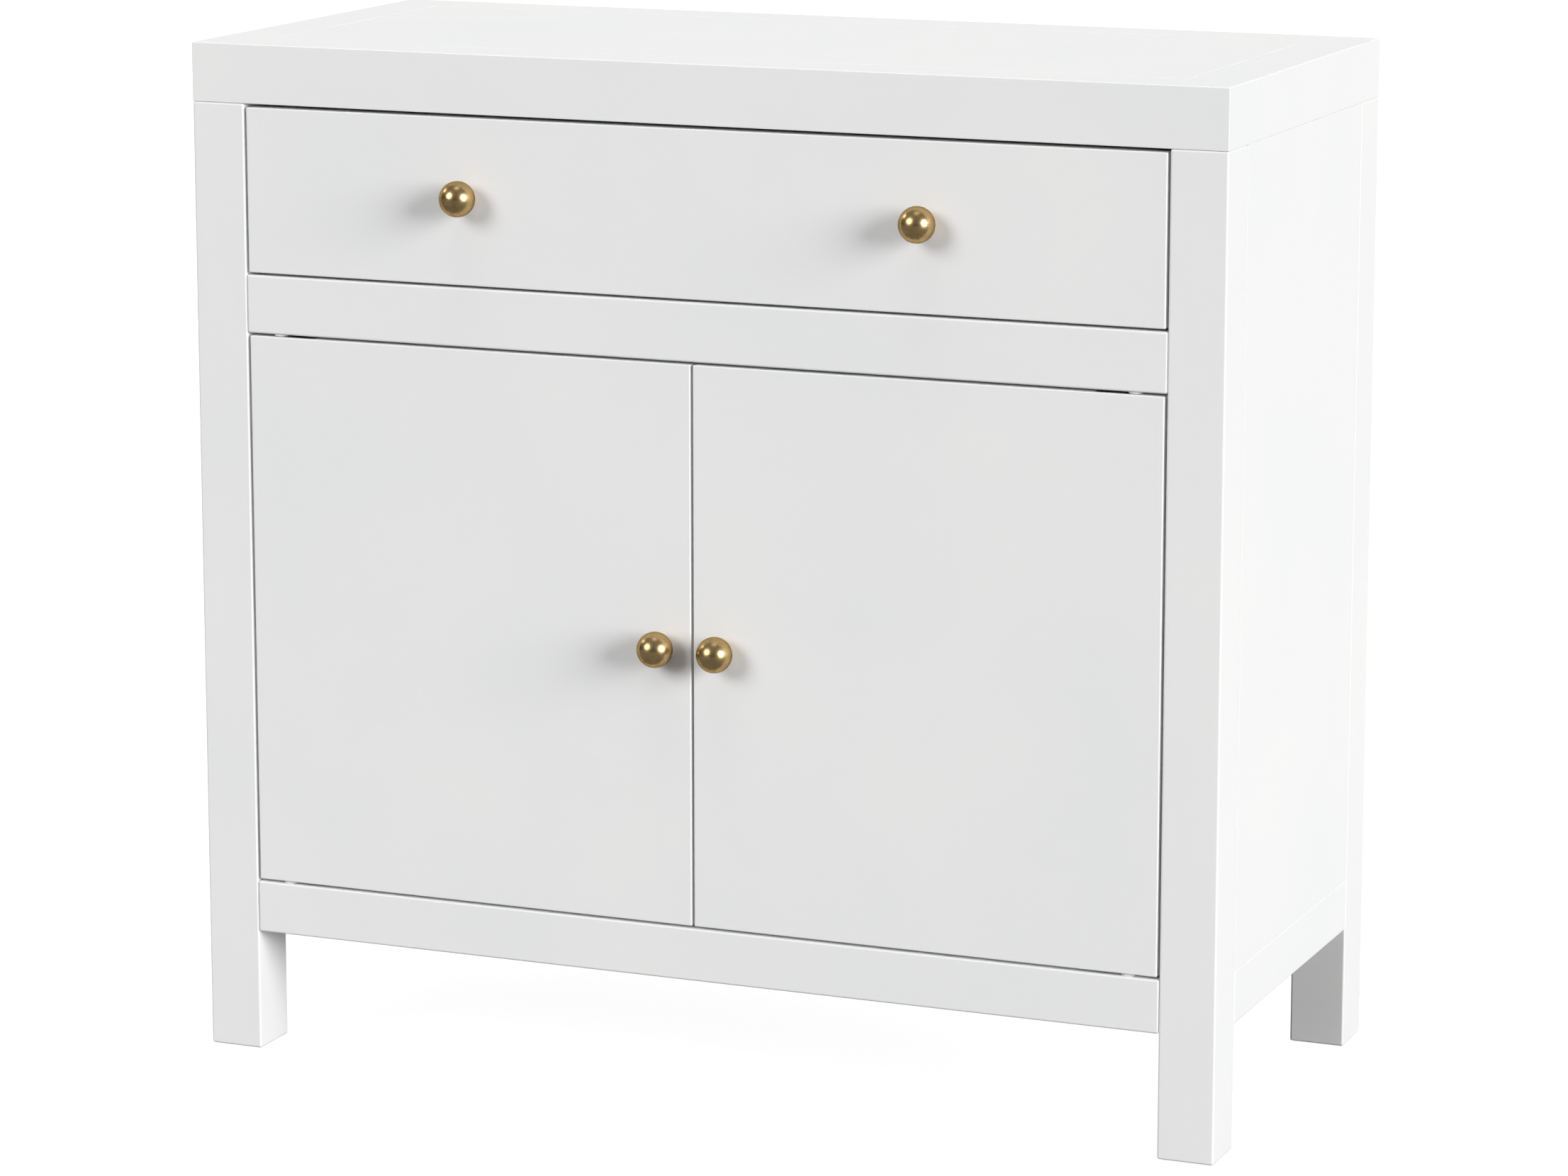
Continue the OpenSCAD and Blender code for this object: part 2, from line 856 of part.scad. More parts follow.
top_rail_front();
top_rail_back();
top_rail_side(-1);  // top_rail_left
top_rail_side(1);  // top_rail_right
top_panel();
leg(-1, front_y);  // leg_front_left
leg(1, front_y);  // leg_front_right
leg(-1, leg_back_y);  // leg_back_left
leg(1, leg_back_y);  // leg_back_right
foot_glides();
side_panel(-1);  // side_panel_left
side_panel(1);  // side_panel_right
side_rail(-1);  // side_rail_left
side_rail(1);  // side_rail_right
mid_rail();
bottom_rail();
back_top_rail();
back_bottom_rail();
back_panel();
bottom_panel();
divider_panel();
top_cleat_strip(-1);  // top_cleat_left
top_cleat_strip(1);  // top_cleat_right
runner_cleat(-1);  // runner_cleat_left
runner_cleat(1);  // runner_cleat_right
dowels();
cabinet_screws();
shelf();
shelf_pins();
pivot_bushes();
door_catches();
runner_outer(-1);  // runner_outer_left
runner_outer(1);  // runner_outer_right
cage(-1, outer_cage_u, outer_row);  // outer_cage_left
cage(1, outer_cage_u, outer_row);  // outer_cage_right
runner_middle(-1);  // runner_middle_left
runner_middle(1);  // runner_middle_right
cage(-1, inner_cage_u, inner_row);  // inner_cage_left
cage(1, inner_cage_u, inner_row);  // inner_cage_right
runner_inner(-1);  // runner_inner_left
runner_inner(1);  // runner_inner_right
drawer_front();
drawer_box_front();
drawer_side(-1);  // drawer_side_left
drawer_side(1);  // drawer_side_right
drawer_back();
drawer_bottom();
drawer_knob(-1);  // drawer_knob_left
drawer_knob(1);  // drawer_knob_right
drawer_screws();
door(-1);  // door_left
door_knob(-1);  // door_knob_left
door_pivots(-1);  // door_pivots_left
strike(-1);  // strike_left
door_screws(-1);  // door_screws_left
door(1);  // door_right
door_knob(1);  // door_knob_right
door_pivots(1);  // door_pivots_right
strike(1);  // strike_right
door_screws(1);  // door_screws_right
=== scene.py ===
import json
import math

import bmesh
import bpy
import numpy as np
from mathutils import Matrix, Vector


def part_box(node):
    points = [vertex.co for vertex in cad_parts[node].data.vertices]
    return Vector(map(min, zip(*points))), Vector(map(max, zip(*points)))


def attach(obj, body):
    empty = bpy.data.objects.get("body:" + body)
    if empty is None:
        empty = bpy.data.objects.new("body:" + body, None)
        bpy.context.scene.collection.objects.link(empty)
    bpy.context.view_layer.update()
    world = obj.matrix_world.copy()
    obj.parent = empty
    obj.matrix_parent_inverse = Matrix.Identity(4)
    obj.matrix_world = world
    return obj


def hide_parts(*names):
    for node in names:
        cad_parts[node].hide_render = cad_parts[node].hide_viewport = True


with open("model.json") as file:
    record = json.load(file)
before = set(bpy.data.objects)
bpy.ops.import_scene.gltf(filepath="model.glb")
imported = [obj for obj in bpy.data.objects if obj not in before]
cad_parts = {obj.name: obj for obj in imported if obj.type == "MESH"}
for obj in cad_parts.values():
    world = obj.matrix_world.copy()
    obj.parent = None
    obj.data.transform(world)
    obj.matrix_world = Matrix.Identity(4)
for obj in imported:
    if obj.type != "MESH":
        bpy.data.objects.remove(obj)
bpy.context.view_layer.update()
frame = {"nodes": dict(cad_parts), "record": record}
scene = bpy.context.scene


class Wire:
    # an output of a node tree that takes part in sums, or the tree's empty start
    def __init__(self, tree, socket=None):
        self.tree = tree
        self.socket = socket

    def make(self, kind, settings=None, inputs=None, output=0):
        node = self.tree.nodes.new(kind)
        for name, value in (settings or {}).items():
            if name == "stops":
                while len(node.color_ramp.elements) < len(value):
                    node.color_ramp.elements.new(0.5)
                for stop, (position, shade) in zip(node.color_ramp.elements, value):
                    stop.position = position
                    stop.color = shade
            else:
                setattr(node, name, value)
        for key, value in (inputs or {}).items():
            for one in value if isinstance(value, list) else [value]:
                if isinstance(one, Wire):
                    self.tree.links.new(one.socket, node.inputs[key])
                else:
                    node.inputs[key].default_value = one
        return Wire(self.tree, node.outputs[output] if len(node.outputs) else None)

    def math(self, operation, *values):
        return self.make("ShaderNodeMath", {"operation": operation}, dict(enumerate(values)))

    def __add__(self, other):
        return self.math("ADD", self, other)

    def __sub__(self, other):
        return self.math("SUBTRACT", self, other)

    def __rsub__(self, other):
        return self.math("SUBTRACT", other, self)

    def __mul__(self, other):
        return self.math("MULTIPLY", self, other)

    def __truediv__(self, other):
        return self.math("DIVIDE", self, other)

    def __rtruediv__(self, other):
        return self.math("DIVIDE", other, self)

    def __mod__(self, other):
        return self.math("FLOORED_MODULO", self, other)

    def __rmod__(self, other):
        return self.math("FLOORED_MODULO", other, self)

    def __gt__(self, other):
        return self.math("GREATER_THAN", self, other)

    def __lt__(self, other):
        return self.math("LESS_THAN", self, other)

    def __pow__(self, other):
        return self.math("POWER", self, other)

    def __rpow__(self, other):
        return self.math("POWER", other, self)

    def __abs__(self):
        return self.math("ABSOLUTE", self)

    __radd__ = __add__
    __rmul__ = __mul__


# pieces of shader that several finishes share


def startFinish(name):
    finish = bpy.data.materials.new(name)
    finish.use_nodes = True
    finish.node_tree.nodes.clear()
    return finish, Wire(finish.node_tree)


def closeFinish(wire, inputs):
    surface = wire.make("ShaderNodeBsdfPrincipled", {}, inputs)
    wire.make("ShaderNodeOutputMaterial", {}, {"Surface": surface})


def objectPlace(wire, stretch=(1, 1, 1)):
    spot = wire.make("ShaderNodeTexCoord", output="Object")
    return wire.make("ShaderNodeMapping", {}, {"Vector": spot, "Scale": stretch})


def boardPlace(wire, stretch=(1, 1, 1)):
    # along the grain, across it and through the board, in metres
    spot = wire.make("ShaderNodeAttribute", {"attribute_name": "boardPlace"}, output="Vector")
    return wire.make("ShaderNodeMapping", {}, {"Vector": spot, "Scale": stretch})


def noise(wire, spot, scale, detail=2, rough=0.5):
    return wire.make(
        "ShaderNodeTexNoise", {}, {"Vector": spot, "Scale": scale, "Detail": detail, "Roughness": rough}
    )


def cells(wire, spot, scale):
    return wire.make("ShaderNodeTexVoronoi", {}, {"Vector": spot, "Scale": scale})


def xyz(wire, vector):
    outputs = wire.make("ShaderNodeSeparateXYZ", {}, {"Vector": vector}).socket.node.outputs
    return [Wire(wire.tree, outputs[k]) for k in range(3)]


def ramp(wire, value, *stops):
    return wire.make(
        "ShaderNodeValToRGB", {"stops": [(p, (*c, 1)) for p, c in stops]}, {"Fac": value}
    )


def between(wire, value, low, high, fromLow=0.0, fromHigh=1.0):
    return wire.make(
        "ShaderNodeMapRange", {},
        {"Value": value, "From Min": fromLow, "From Max": fromHigh, "To Min": low, "To Max": high},
    )


def mixed(wire, factor, first, second):
    first, second = [c if isinstance(c, Wire) else (*c, 1) for c in (first, second)]
    return wire.make("ShaderNodeMix", {"data_type": "RGBA"}, {0: factor, 6: first, 7: second}, 2)


def bumped(wire, height, distance, strength=1.0, under=None):
    inputs = {"Height": height, "Distance": distance, "Strength": strength}
    if under:
        inputs["Normal"] = under
    return wire.make("ShaderNodeBump", {}, inputs)


lacquer = {
    "white": (0.835, 0.835, 0.83),
    "cooler": (0.815, 0.818, 0.82),
    "sheen": (0.50, 0.58),  # roughness between these
    "peel": 620,            # orange peel of the sprayed coat, bumps a metre
    "peelDepth": 0.00003,
    "dust": 140,            # specks caught in the coat, a metre
    "dustDepth": 0.00002,
    "gloss": 0.15,
}


def whiteLacquer():
    finish, w = startFinish("whiteLacquer")
    spot = objectPlace(w)
    cloud = noise(w, spot, 5, 3)
    mist = noise(w, spot, 45, 4, 0.6)
    peel = noise(w, spot, lacquer["peel"], 1)
    dust = between(w, cells(w, spot, lacquer["dust"]), 1, 0, 0, 0.035)
    rough = between(w, cloud * 0.6 + mist * 0.4, *lacquer["sheen"], 0.3, 0.7)
    body = mixed(w, between(w, cloud, 0, 1, 0.35, 0.65), lacquer["white"], lacquer["cooler"])
    coat = bumped(w, peel, lacquer["peelDepth"], 0.6)
    closeFinish(w, {
        "Base Color": body,
        "Roughness": rough,
        "Normal": bumped(w, dust, lacquer["dustDepth"], 0.25, coat),
        "Specular IOR Level": lacquer["gloss"],
    })
    return finish


melamineLook = {
    "white": (0.80, 0.80, 0.785),
    "speck": (0.765, 0.765, 0.755),
    "pearl": 900,  # grains of the pressed texture, a metre
    "depth": 0.00006,
    "rough": (0.42, 0.52),
}


def melamine():
    finish, w = startFinish("melamine")
    spot = objectPlace(w)
    grain = noise(w, spot, melamineLook["pearl"], 3, 0.6)
    cloud = noise(w, spot, 12, 3)
    body = mixed(w, between(w, grain, 0, 1, 0.45, 0.7), melamineLook["white"], melamineLook["speck"])
    closeFinish(w, {
        "Base Color": body,
        "Roughness": between(w, cloud, *melamineLook["rough"], 0.3, 0.7),
        "Normal": bumped(w, grain, melamineLook["depth"], 0.5),
    })
    return finish


plyLook = {
    "veneer": 0.00133,  # thickness of one layer
    "pale": (0.74, 0.57, 0.38),
    "vein": (0.58, 0.40, 0.24),
    "endGrain": (0.47, 0.31, 0.18),
    "glue": (0.20, 0.12, 0.07),
    "rough": (0.42, 0.58),
    "depth": 0.00008,
    "varnish": 0.15,
    "varnishRough": 0.4,
}


def birchPly():
    finish, w = startFinish("birchPly")
    layer = xyz(w, boardPlace(w))[2] / plyLook["veneer"]
    crossed = (layer % 2) > 1
    line = between(w, abs(layer % 1 - 0.5), 0, 1, 0.44, 0.5)
    long = noise(w, boardPlace(w, (3, 42, 60)), 4, 6, 0.62)
    fine = noise(w, boardPlace(w, (14, 420, 420)), 4, 3, 0.6)
    ends = noise(w, boardPlace(w, (500, 6, 300)), 3, 3, 0.6)
    face = mixed(w, between(w, long, 0, 1, 0.38, 0.68), plyLook["pale"], plyLook["vein"])
    face = mixed(w, between(w, fine, 0, 0.35, 0.5, 0.75), face, plyLook["endGrain"])
    end = mixed(w, between(w, ends, 0, 0.5, 0.35, 0.7), plyLook["endGrain"], plyLook["vein"])
    body = mixed(w, line * 0.7, mixed(w, crossed, face, end), plyLook["glue"])
    closeFinish(w, {
        "Base Color": body,
        "Roughness": between(w, long, *plyLook["rough"], 0.3, 0.7),
        "Normal": bumped(w, fine, plyLook["depth"], 0.4),
        "Coat Weight": plyLook["varnish"],
        "Coat Roughness": plyLook["varnishRough"],
    })
    return finish


beechLook = {
    "pale": (0.67, 0.46, 0.29),
    "dark": (0.50, 0.31, 0.18),
    "fleck": (0.36, 0.20, 0.11),
    "rough": (0.5, 0.62),
    "depth": 0.0001,
}


def beechWood():
    finish, w = startFinish("beechWood")
    rings = noise(w, boardPlace(w, (2, 60, 45)), 3, 5, 0.6)
    pores = noise(w, boardPlace(w, (40, 700, 700)), 3, 2, 0.5)
    flecks = cells(w, boardPlace(w, (160, 900, 700)), 1)
    body = mixed(w, between(w, rings, 0, 1, 0.35, 0.68), beechLook["pale"], beechLook["dark"])
    fleck = between(w, flecks, 0.65, 0, 0.1, 0.3)
    body = mixed(w, fleck, body, beechLook["fleck"])
    closeFinish(w, {
        "Base Color": body,
        "Roughness": between(w, rings, *beechLook["rough"], 0.3, 0.7),
        "Normal": bumped(w, pores, beechLook["depth"], 0.45),
    })
    return finish


hardboardLook = {
    "white": (0.80, 0.80, 0.79),
    "brown": (0.20, 0.115, 0.062),
    "fibre": (0.33, 0.21, 0.125),
    "screen": 480,  # meshes of the pressed back, a metre
    "depth": 0.0001,
    "rough": (0.45, 0.8),  # painted, bare
}


def paintedHardboard(middle):
    # white towards the front, bare and screen-pressed towards the back
    finish, w = startFinish("paintedHardboard")
    spot = objectPlace(w)
    x, y, z = xyz(w, spot)
    bare = y > middle
    fibre = noise(w, objectPlace(w, (260, 260, 700)), 1, 4, 0.7)
    cloud = noise(w, spot, 7, 3)
    brown = mixed(w, between(w, fibre, 0, 1, 0.35, 0.72), hardboardLook["brown"], hardboardLook["fibre"])
    brown = mixed(w, between(w, cloud, 0, 0.35, 0.35, 0.7), brown, hardboardLook["brown"])
    turn = 2 * math.pi * hardboardLook["screen"]
    screen = w.math("SINE", x * turn) * w.math("SINE", z * turn)
    height = screen * bare + fibre * 0.4
    closeFinish(w, {
        "Base Color": mixed(w, bare, hardboardLook["white"], brown),
        "Roughness": between(w, bare, *hardboardLook["rough"]),
        "Normal": bumped(w, height, hardboardLook["depth"], 0.5),
    })
    return finish


steelLook = {
    "zinc": (0.62, 0.635, 0.65),
    "spangle": (0.52, 0.535, 0.555),
    "rough": (0.24, 0.40),
    "drawn": (3200, 24, 3200),  # fine lines along the steel, a metre
    "depth": 0.00002,
}


def zincSteel():
    finish, w = startFinish("zincSteel")
    spot = objectPlace(w)
    spangle = noise(w, spot, 90, 3, 0.6)
    drawn = noise(w, objectPlace(w, steelLook["drawn"]), 1, 2)
    body = mixed(w, between(w, spangle, 0, 1, 0.4, 0.62), steelLook["zinc"], steelLook["spangle"])
    closeFinish(w, {
        "Base Color": body,
        "Metallic": 1.0,
        "Roughness": between(w, spangle * 0.5 + drawn * 0.5, *steelLook["rough"], 0.3, 0.7),
        "Normal": bumped(w, drawn, steelLook["depth"], 0.35),
    })
    return finish


ballLook = {"bright": (0.70, 0.71, 0.72), "film": (0.56, 0.55, 0.53), "rough": (0.09, 0.2), "depth": 0.000004}


def ballSteel():
    finish, w = startFinish("ballSteel")
    spot = objectPlace(w)
    film = noise(w, spot, 500, 3, 0.6)
    scuff = noise(w, spot, 2500, 2)
    closeFinish(w, {
        "Base Color": mixed(w, film, ballLook["bright"], ballLook["film"]),
        "Metallic": 1.0,
        "Roughness": between(w, film, *ballLook["rough"], 0.3, 0.7),
        "Normal": bumped(w, scuff, ballLook["depth"], 0.3),
    })
    return finish


plasticLook = {
    "black": (0.018, 0.018, 0.019),
    "bloom": (0.034, 0.034, 0.035),
    "rough": (0.38, 0.55),
    "depth": 0.00004,
}


def blackPlastic():
    finish, w = startFinish("blackPlastic")
    spot = objectPlace(w)
    grain = noise(w, spot, 1600, 2, 0.6)
    cloud = noise(w, spot, 60, 3)
    closeFinish(w, {
        "Base Color": mixed(w, cloud, plasticLook["black"], plasticLook["bloom"]),
        "Roughness": between(w, grain, *plasticLook["rough"], 0.3, 0.7),
        "Normal": bumped(w, grain, plasticLook["depth"], 0.5),
    })
    return finish


nylonLook = {
    "white": (0.79, 0.79, 0.76),
    "dull": (0.72, 0.72, 0.69),
    "rough": (0.40, 0.52),
    "depth": 0.00003,
}


def whiteNylon():
    finish, w = startFinish("whiteNylon")
    grain = noise(w, objectPlace(w), 1400, 2, 0.6)
    cloud = noise(w, objectPlace(w), 80, 3)
    closeFinish(w, {
        "Base Color": mixed(w, cloud, nylonLook["white"], nylonLook["dull"]),
        "Roughness": between(w, grain, *nylonLook["rough"], 0.3, 0.7),
        "Normal": bumped(w, grain, nylonLook["depth"], 0.4),
    })
    return finish


brassLook = {
    "bright": (0.60, 0.425, 0.205),
    "aged": (0.46, 0.315, 0.145),
    "spot": (0.30, 0.195, 0.09),
    "rough": (0.23, 0.31),
    "rim": (0.52, 0.45, 0.34),  # tints what is seen at a slant
    "rings": 5200,  # turning marks along the axis, a metre
    "depth": 0.00001,
}


def satinBrass():
    finish, w = startFinish("satinBrass")
    spot = objectPlace(w)
    cloud = noise(w, spot, 130, 4, 0.62)
    freckle = noise(w, spot, 700, 3, 0.6)
    marks = noise(w, objectPlace(w, (60, brassLook["rings"], 60)), 1, 2)
    body = mixed(w, between(w, cloud, 0, 1, 0.38, 0.66), brassLook["bright"], brassLook["aged"])
    body = mixed(w, between(w, freckle, 0, 0.45, 0.6, 0.75), body, brassLook["spot"])
    rough = between(w, cloud * 0.7 + freckle * 0.3, *brassLook["rough"], 0.35, 0.65)
    closeFinish(w, {
        "Base Color": body,
        "Metallic": 1.0,
        "Specular Tint": (*brassLook["rim"], 1),
        "Roughness": rough,
        "Normal": bumped(w, marks + freckle * 0.5, brassLook["depth"], 0.3),
    })
    return finish


backLow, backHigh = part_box("back_panel")
finishes = {
    "white_lacquer": whiteLacquer(),
    "melamine": melamine(),
    "birch_ply": birchPly(),
    "hardboard": paintedHardboard((backLow.y + backHigh.y) / 2),
    "beech": beechWood(),
    "zinc_steel": zincSteel(),
    "ball_steel": ballSteel(),
    "black_plastic": blackPlastic(),
    "white_nylon": whiteNylon(),
    "brass": satinBrass(),
}
print("finishes:", len(finishes))


# shaping and placing


def meshOf(bm, name, sharpAngle=32):
    bmesh.ops.recalc_face_normals(bm, faces=bm.faces)
    limit = math.radians(sharpAngle)
    for face in bm.faces:
        face.smooth = True
    for edge in bm.edges:
        edge.smooth = len(edge.link_faces) == 2 and edge.calc_face_angle(0) < limit
    mesh = bpy.data.meshes.new(name)
    bm.to_mesh(mesh)
    bm.free()
    return mesh


def evaluatedMesh(holder):
    # the result of a holder's modifiers as a plain mesh; the holder goes
    depsgraph = bpy.context.evaluated_depsgraph_get()
    mesh = bpy.data.meshes.new_from_object(
        holder.evaluated_get(depsgraph), preserve_all_data_layers=True, depsgraph=depsgraph
    )
    bpy.data.objects.remove(holder)
    return mesh


def holderFor(mesh):
    holder = bpy.data.objects.new("holder", mesh)
    scene.collection.objects.link(holder)
    return holder


def place(name, mesh, body, slotName, nodes):
    holder = holderFor(mesh)
    evener = holder.modifiers.new("evener", "WEIGHTED_NORMAL")  # flat faces stay flat beside eased edges
    evener.weight = 100
    evener.keep_sharp = True
    mesh = evaluatedMesh(holder)
    mesh.name = name
    mesh.materials.clear()
    mesh.materials.append(finishes[slotName])
    piece = bpy.data.objects.new(name, mesh)
    scene.collection.objects.link(piece)
    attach(piece, body)
    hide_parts(*nodes)
    return piece


def cleanCopy(node):
    bm = bmesh.new()
    bm.from_mesh(frame["nodes"][node].data)
    bmesh.ops.remove_doubles(bm, verts=bm.verts, dist=2e-6)
    bmesh.ops.dissolve_limit(
        bm, angle_limit=math.radians(0.5), verts=bm.verts, edges=bm.edges
    )
    return bm


def easeArrises(bm, low, high, radius, steps=3):
    # rounds what lies along the edges and corners of the box from low to high
    for axis in range(3):
        for wall, inward in ((low[axis], 1), (high[axis], -1)):
            for step in range(steps):
                inset = radius * (1 - math.tan(math.pi / 4 * step / steps))
                spot, facing = Vector(), Vector()
                spot[axis] = wall + inward * inset
                facing[axis] = 1
                everything = bm.verts[:] + bm.edges[:] + bm.faces[:]
                bmesh.ops.bisect_plane(bm, geom=everything, plane_co=spot, plane_no=facing, dist=1e-7)
    for vert in bm.verts:
        core = Vector([min(max(c, a + radius), b - radius) for c, a, b in zip(vert.co, low, high)])
        out = vert.co - core
        if out.length > radius:
            vert.co = core + out * (radius / out.length)


def roundedBlock(bm, low, high, radius, steps=2):
    block = bmesh.new()
    bmesh.ops.create_cube(block, size=1)
    for vert in block.verts:
        vert.co = [b if c > 0 else a for c, a, b in zip(vert.co, low, high)]
    easeArrises(block, low, high, radius, steps)
    addInto(bm, block)


def addInto(bm, part):
    mesh = bpy.data.meshes.new("part")
    part.to_mesh(mesh)
    part.free()
    bm.from_mesh(mesh)
    bpy.data.meshes.remove(mesh)


def turned(bm, profile, centre, axis, around=48, ring=False):
    # a shape turned about an axis; profile is (radius, distance along the axis)
    axis = Vector(axis).normalized()
    side = axis.orthogonal().normalized()
    other = axis.cross(side)
    rows = []
    for radius, along in profile:
        middle = Vector(centre) + axis * along
        if radius < 1e-7:
            rows.append([bm.verts.new(middle)])
            continue
        angles = [2 * math.pi * k / around for k in range(around)]
        rows.append([
            bm.verts.new(middle + (side * math.cos(a) + other * math.sin(a)) * radius) for a in angles
        ])
    for near, far in zip(rows, rows[1:] + rows[:1] if ring else rows[1:]):
        for k in range(around):
            j = (k + 1) % around
            corners = [near[k % len(near)], near[j % len(near)], far[j % len(far)], far[k % len(far)]]
            bm.faces.new(list(dict.fromkeys(corners)))


def arc(centre, radius, start, end, steps):
    # points of an arc in a profile, in degrees from the radial direction
    angles = [math.radians(start + (end - start) * k / steps) for k in range(steps + 1)]
    return [(centre[0] + radius * math.cos(a), centre[1] + radius * math.sin(a)) for a in angles]


def markBoard(mesh, low, high, seed):
    # the board's own directions: longest is along the grain, shortest is through it
    order = sorted(range(3), key=lambda k: low[k] - high[k])
    points = np.empty(len(mesh.vertices) * 3, np.float32)
    mesh.vertices.foreach_get("co", points)
    points = points.reshape(-1, 3) - np.array(low, np.float32)
    values = points[:, order] + np.array([seed * 1.7, seed * 0.9, 0], np.float32)
    values = np.ascontiguousarray(values, np.float32)
    layer = mesh.attributes.new("boardPlace", "FLOAT_VECTOR", "POINT")
    layer.data.foreach_set("vector", values.ravel())


# the lacquered, veneered and plywood boards

boards = {
    # slot: groups of an eased radius and its nodes
    "white_lacquer": [
        (0.0018, ["leg_front_left", "leg_front_right", "leg_back_left", "leg_back_right"]),
        (0.0018, ["side_rail_left", "side_rail_right", "mid_rail", "bottom_rail"]),
        (0.0018, ["back_top_rail", "back_bottom_rail"]),
        (0.0005, ["side_panel_left", "side_panel_right"]),
        (0.0011, ["drawer_front", "door_left", "door_right"]),
    ],
    "melamine": [(0.0004, ["bottom_panel", "divider_panel"]), (0.0006, ["shelf"])],
    "hardboard": [(0.0004, ["back_panel"])],
    "birch_ply": [
        (0.0009, ["drawer_box_front", "drawer_back"]),
        (0.0003, ["drawer_bottom"]),
        (0.0009, ["drawer_side_left", "drawer_side_right"]),
    ],
    "beech": [
        (0.0008, ["top_cleat_left", "top_cleat_right", "runner_cleat_left", "runner_cleat_right"]),
    ],
}
bodyOf = {node: body for body, nodes in frame["record"]["behaviour"]["bodies"].items() for node in nodes}

count = 0
for slotName, groups in boards.items():
    for seed, (radius, node) in enumerate((radius, node) for radius, nodes in groups for node in nodes):
        low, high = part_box(node)
        bm = cleanCopy(node)
        easeArrises(bm, low, high, radius)
        mesh = meshOf(bm, node)
        if slotName in ("birch_ply", "beech"):
            markBoard(mesh, low, high, seed)
        place(node + "_board", mesh, bodyOf[node], slotName, [node])
        count += 1
print("boards:", count)


top = {
    "arris": 0.0007,        # outer edges of the mitred frame
    "panelJoint": 0.0006,   # eased edges beside the inset panel
    "mitreJoint": 0.0003,   # eased edges of the mitres
}


def topFrame():
    slabLow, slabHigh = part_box("top_rail_front")
    for node in ("top_rail_back", "top_rail_left", "top_rail_right"):
        low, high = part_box(node)
        slabLow = Vector(map(min, slabLow, low))
        slabHigh = Vector(map(max, slabHigh, high))
    panelLow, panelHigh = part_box("top_panel")
    tiny = 1e-5
    for node in ("top_rail_front", "top_rail_back", "top_rail_left", "top_rail_right"):
        bm = cleanCopy(node)
        for joint in ("panelJoint", "mitreJoint"):
            edges = []
            for edge in bm.edges:
                run = edge.verts[1].co - edge.verts[0].co
                slanted = abs(run.x) > tiny and abs(run.y) > tiny
                flat = all(abs(v.co.z - slabHigh.z) < tiny for v in edge.verts)
                onPanel = all(
                    panelLow.x - tiny < v.co.x < panelHigh.x + tiny
                    and panelLow.y - tiny < v.co.y < panelHigh.y + tiny for v in edge.verts
                )
                wanted = slanted if joint == "mitreJoint" else onPanel
                if flat and wanted and edge.calc_face_angle(0) > 1:
                    edges.append(edge)
            bmesh.ops.bevel(
                bm, geom=edges, offset=top[joint], offset_type="OFFSET", segments=2, profile=0.5,
                affect="EDGES", clamp_overlap=False
            )
        easeArrises(bm, slabLow, slabHigh, top["arris"])
        place(node + "_board", meshOf(bm, node), "cabinet", "white_lacquer", [node])
    bm = cleanCopy("top_panel")
    easeArrises(bm, panelLow, panelHigh, top["panelJoint"])
    place("top_panel_board", meshOf(bm, "top_panel"), "cabinet", "white_lacquer", ["top_panel"])


topFrame()
print("top: mitred frame and panel")


knob = {
    "across": 0.030,
    "out": 0.016,      # from the front to the middle of the ball
    "neck": 0.012,
    "blend": 0.0007,   # fillet between neck and ball
    "foot": 0.0006,    # flare where the neck meets the front
    "rim": 0.0002,     # rounding at the flare's edge
    "thread": 0.004,
    "bore": 0.0118,
    "tip": 0.0006,     # cone at the end of the bore
    "around": 128,
}


def ballKnob(node, body):
    low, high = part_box(node)
    centre = (low + high) / 2
    centre.y = high.y
    ball, neck = knob["across"] / 2, knob["neck"] / 2
    blend, foot, rim, thread = knob["blend"], knob["foot"], knob["rim"], knob["thread"] / 2
    reach = math.sqrt((ball + blend) ** 2 - (neck + blend) ** 2)
    meet = math.degrees(math.atan2(reach, neck + blend))
    profile = [(0, knob["bore"]), (thread, knob["bore"] - knob["tip"]), (thread, 0)]
    profile += [(neck + foot - rim, 0)] + arc((neck + foot - rim, rim), rim, -90, 0, 2)
    profile += arc((neck + foot, rim + foot), foot, 270, 180, 4)[1:]
    profile += arc((neck + blend, knob["out"] - reach), blend, 180, meet, 5)
    start = -math.degrees(math.acos((neck + blend) / (ball + blend)))
    profile += arc((0, knob["out"]), ball, start, 90, 44)[1:-1] + [(0, knob["out"] + ball)]
    bm = bmesh.new()
    turned(bm, profile, centre, (0, -1, 0), knob["around"])
    place(node + "_turned", meshOf(bm, node, 40), body, "brass", [node])


knobs = [node for node in bodyOf if "_knob_" in node]
for node in knobs:
    ballKnob(node, bodyOf[node])
print("knobs:", len(knobs))


# node trees for what repeats


def startTree(name, sizes):
    tree = bpy.data.node_groups.new(name, "GeometryNodeTree")
    tree.interface.new_socket("Geometry", in_out="INPUT", socket_type="NodeSocketGeometry")
    for label, (kind, value) in sizes.items():
        socket = tree.interface.new_socket(label, in_out="INPUT", socket_type="NodeSocket" + kind)
        if value is not None:
            socket.default_value = value
    tree.interface.new_socket("Finish", in_out="INPUT", socket_type="NodeSocketMaterial")
    tree.interface.new_socket("Geometry", in_out="OUTPUT", socket_type="NodeSocketGeometry")
    start = tree.nodes.new("NodeGroupInput")
    given = {socket.name: Wire(tree, socket) for socket in start.outputs if socket.name}
    return tree, Wire(tree), given


def closeTree(wire, given, geometry):
    real = wire.make("GeometryNodeRealizeInstances", {}, {"Geometry": geometry})
    painted = wire.make("GeometryNodeSetMaterial", {}, {"Geometry": real, "Material": given["Finish"]})
    wire.make("NodeGroupOutput", {}, {0: painted})


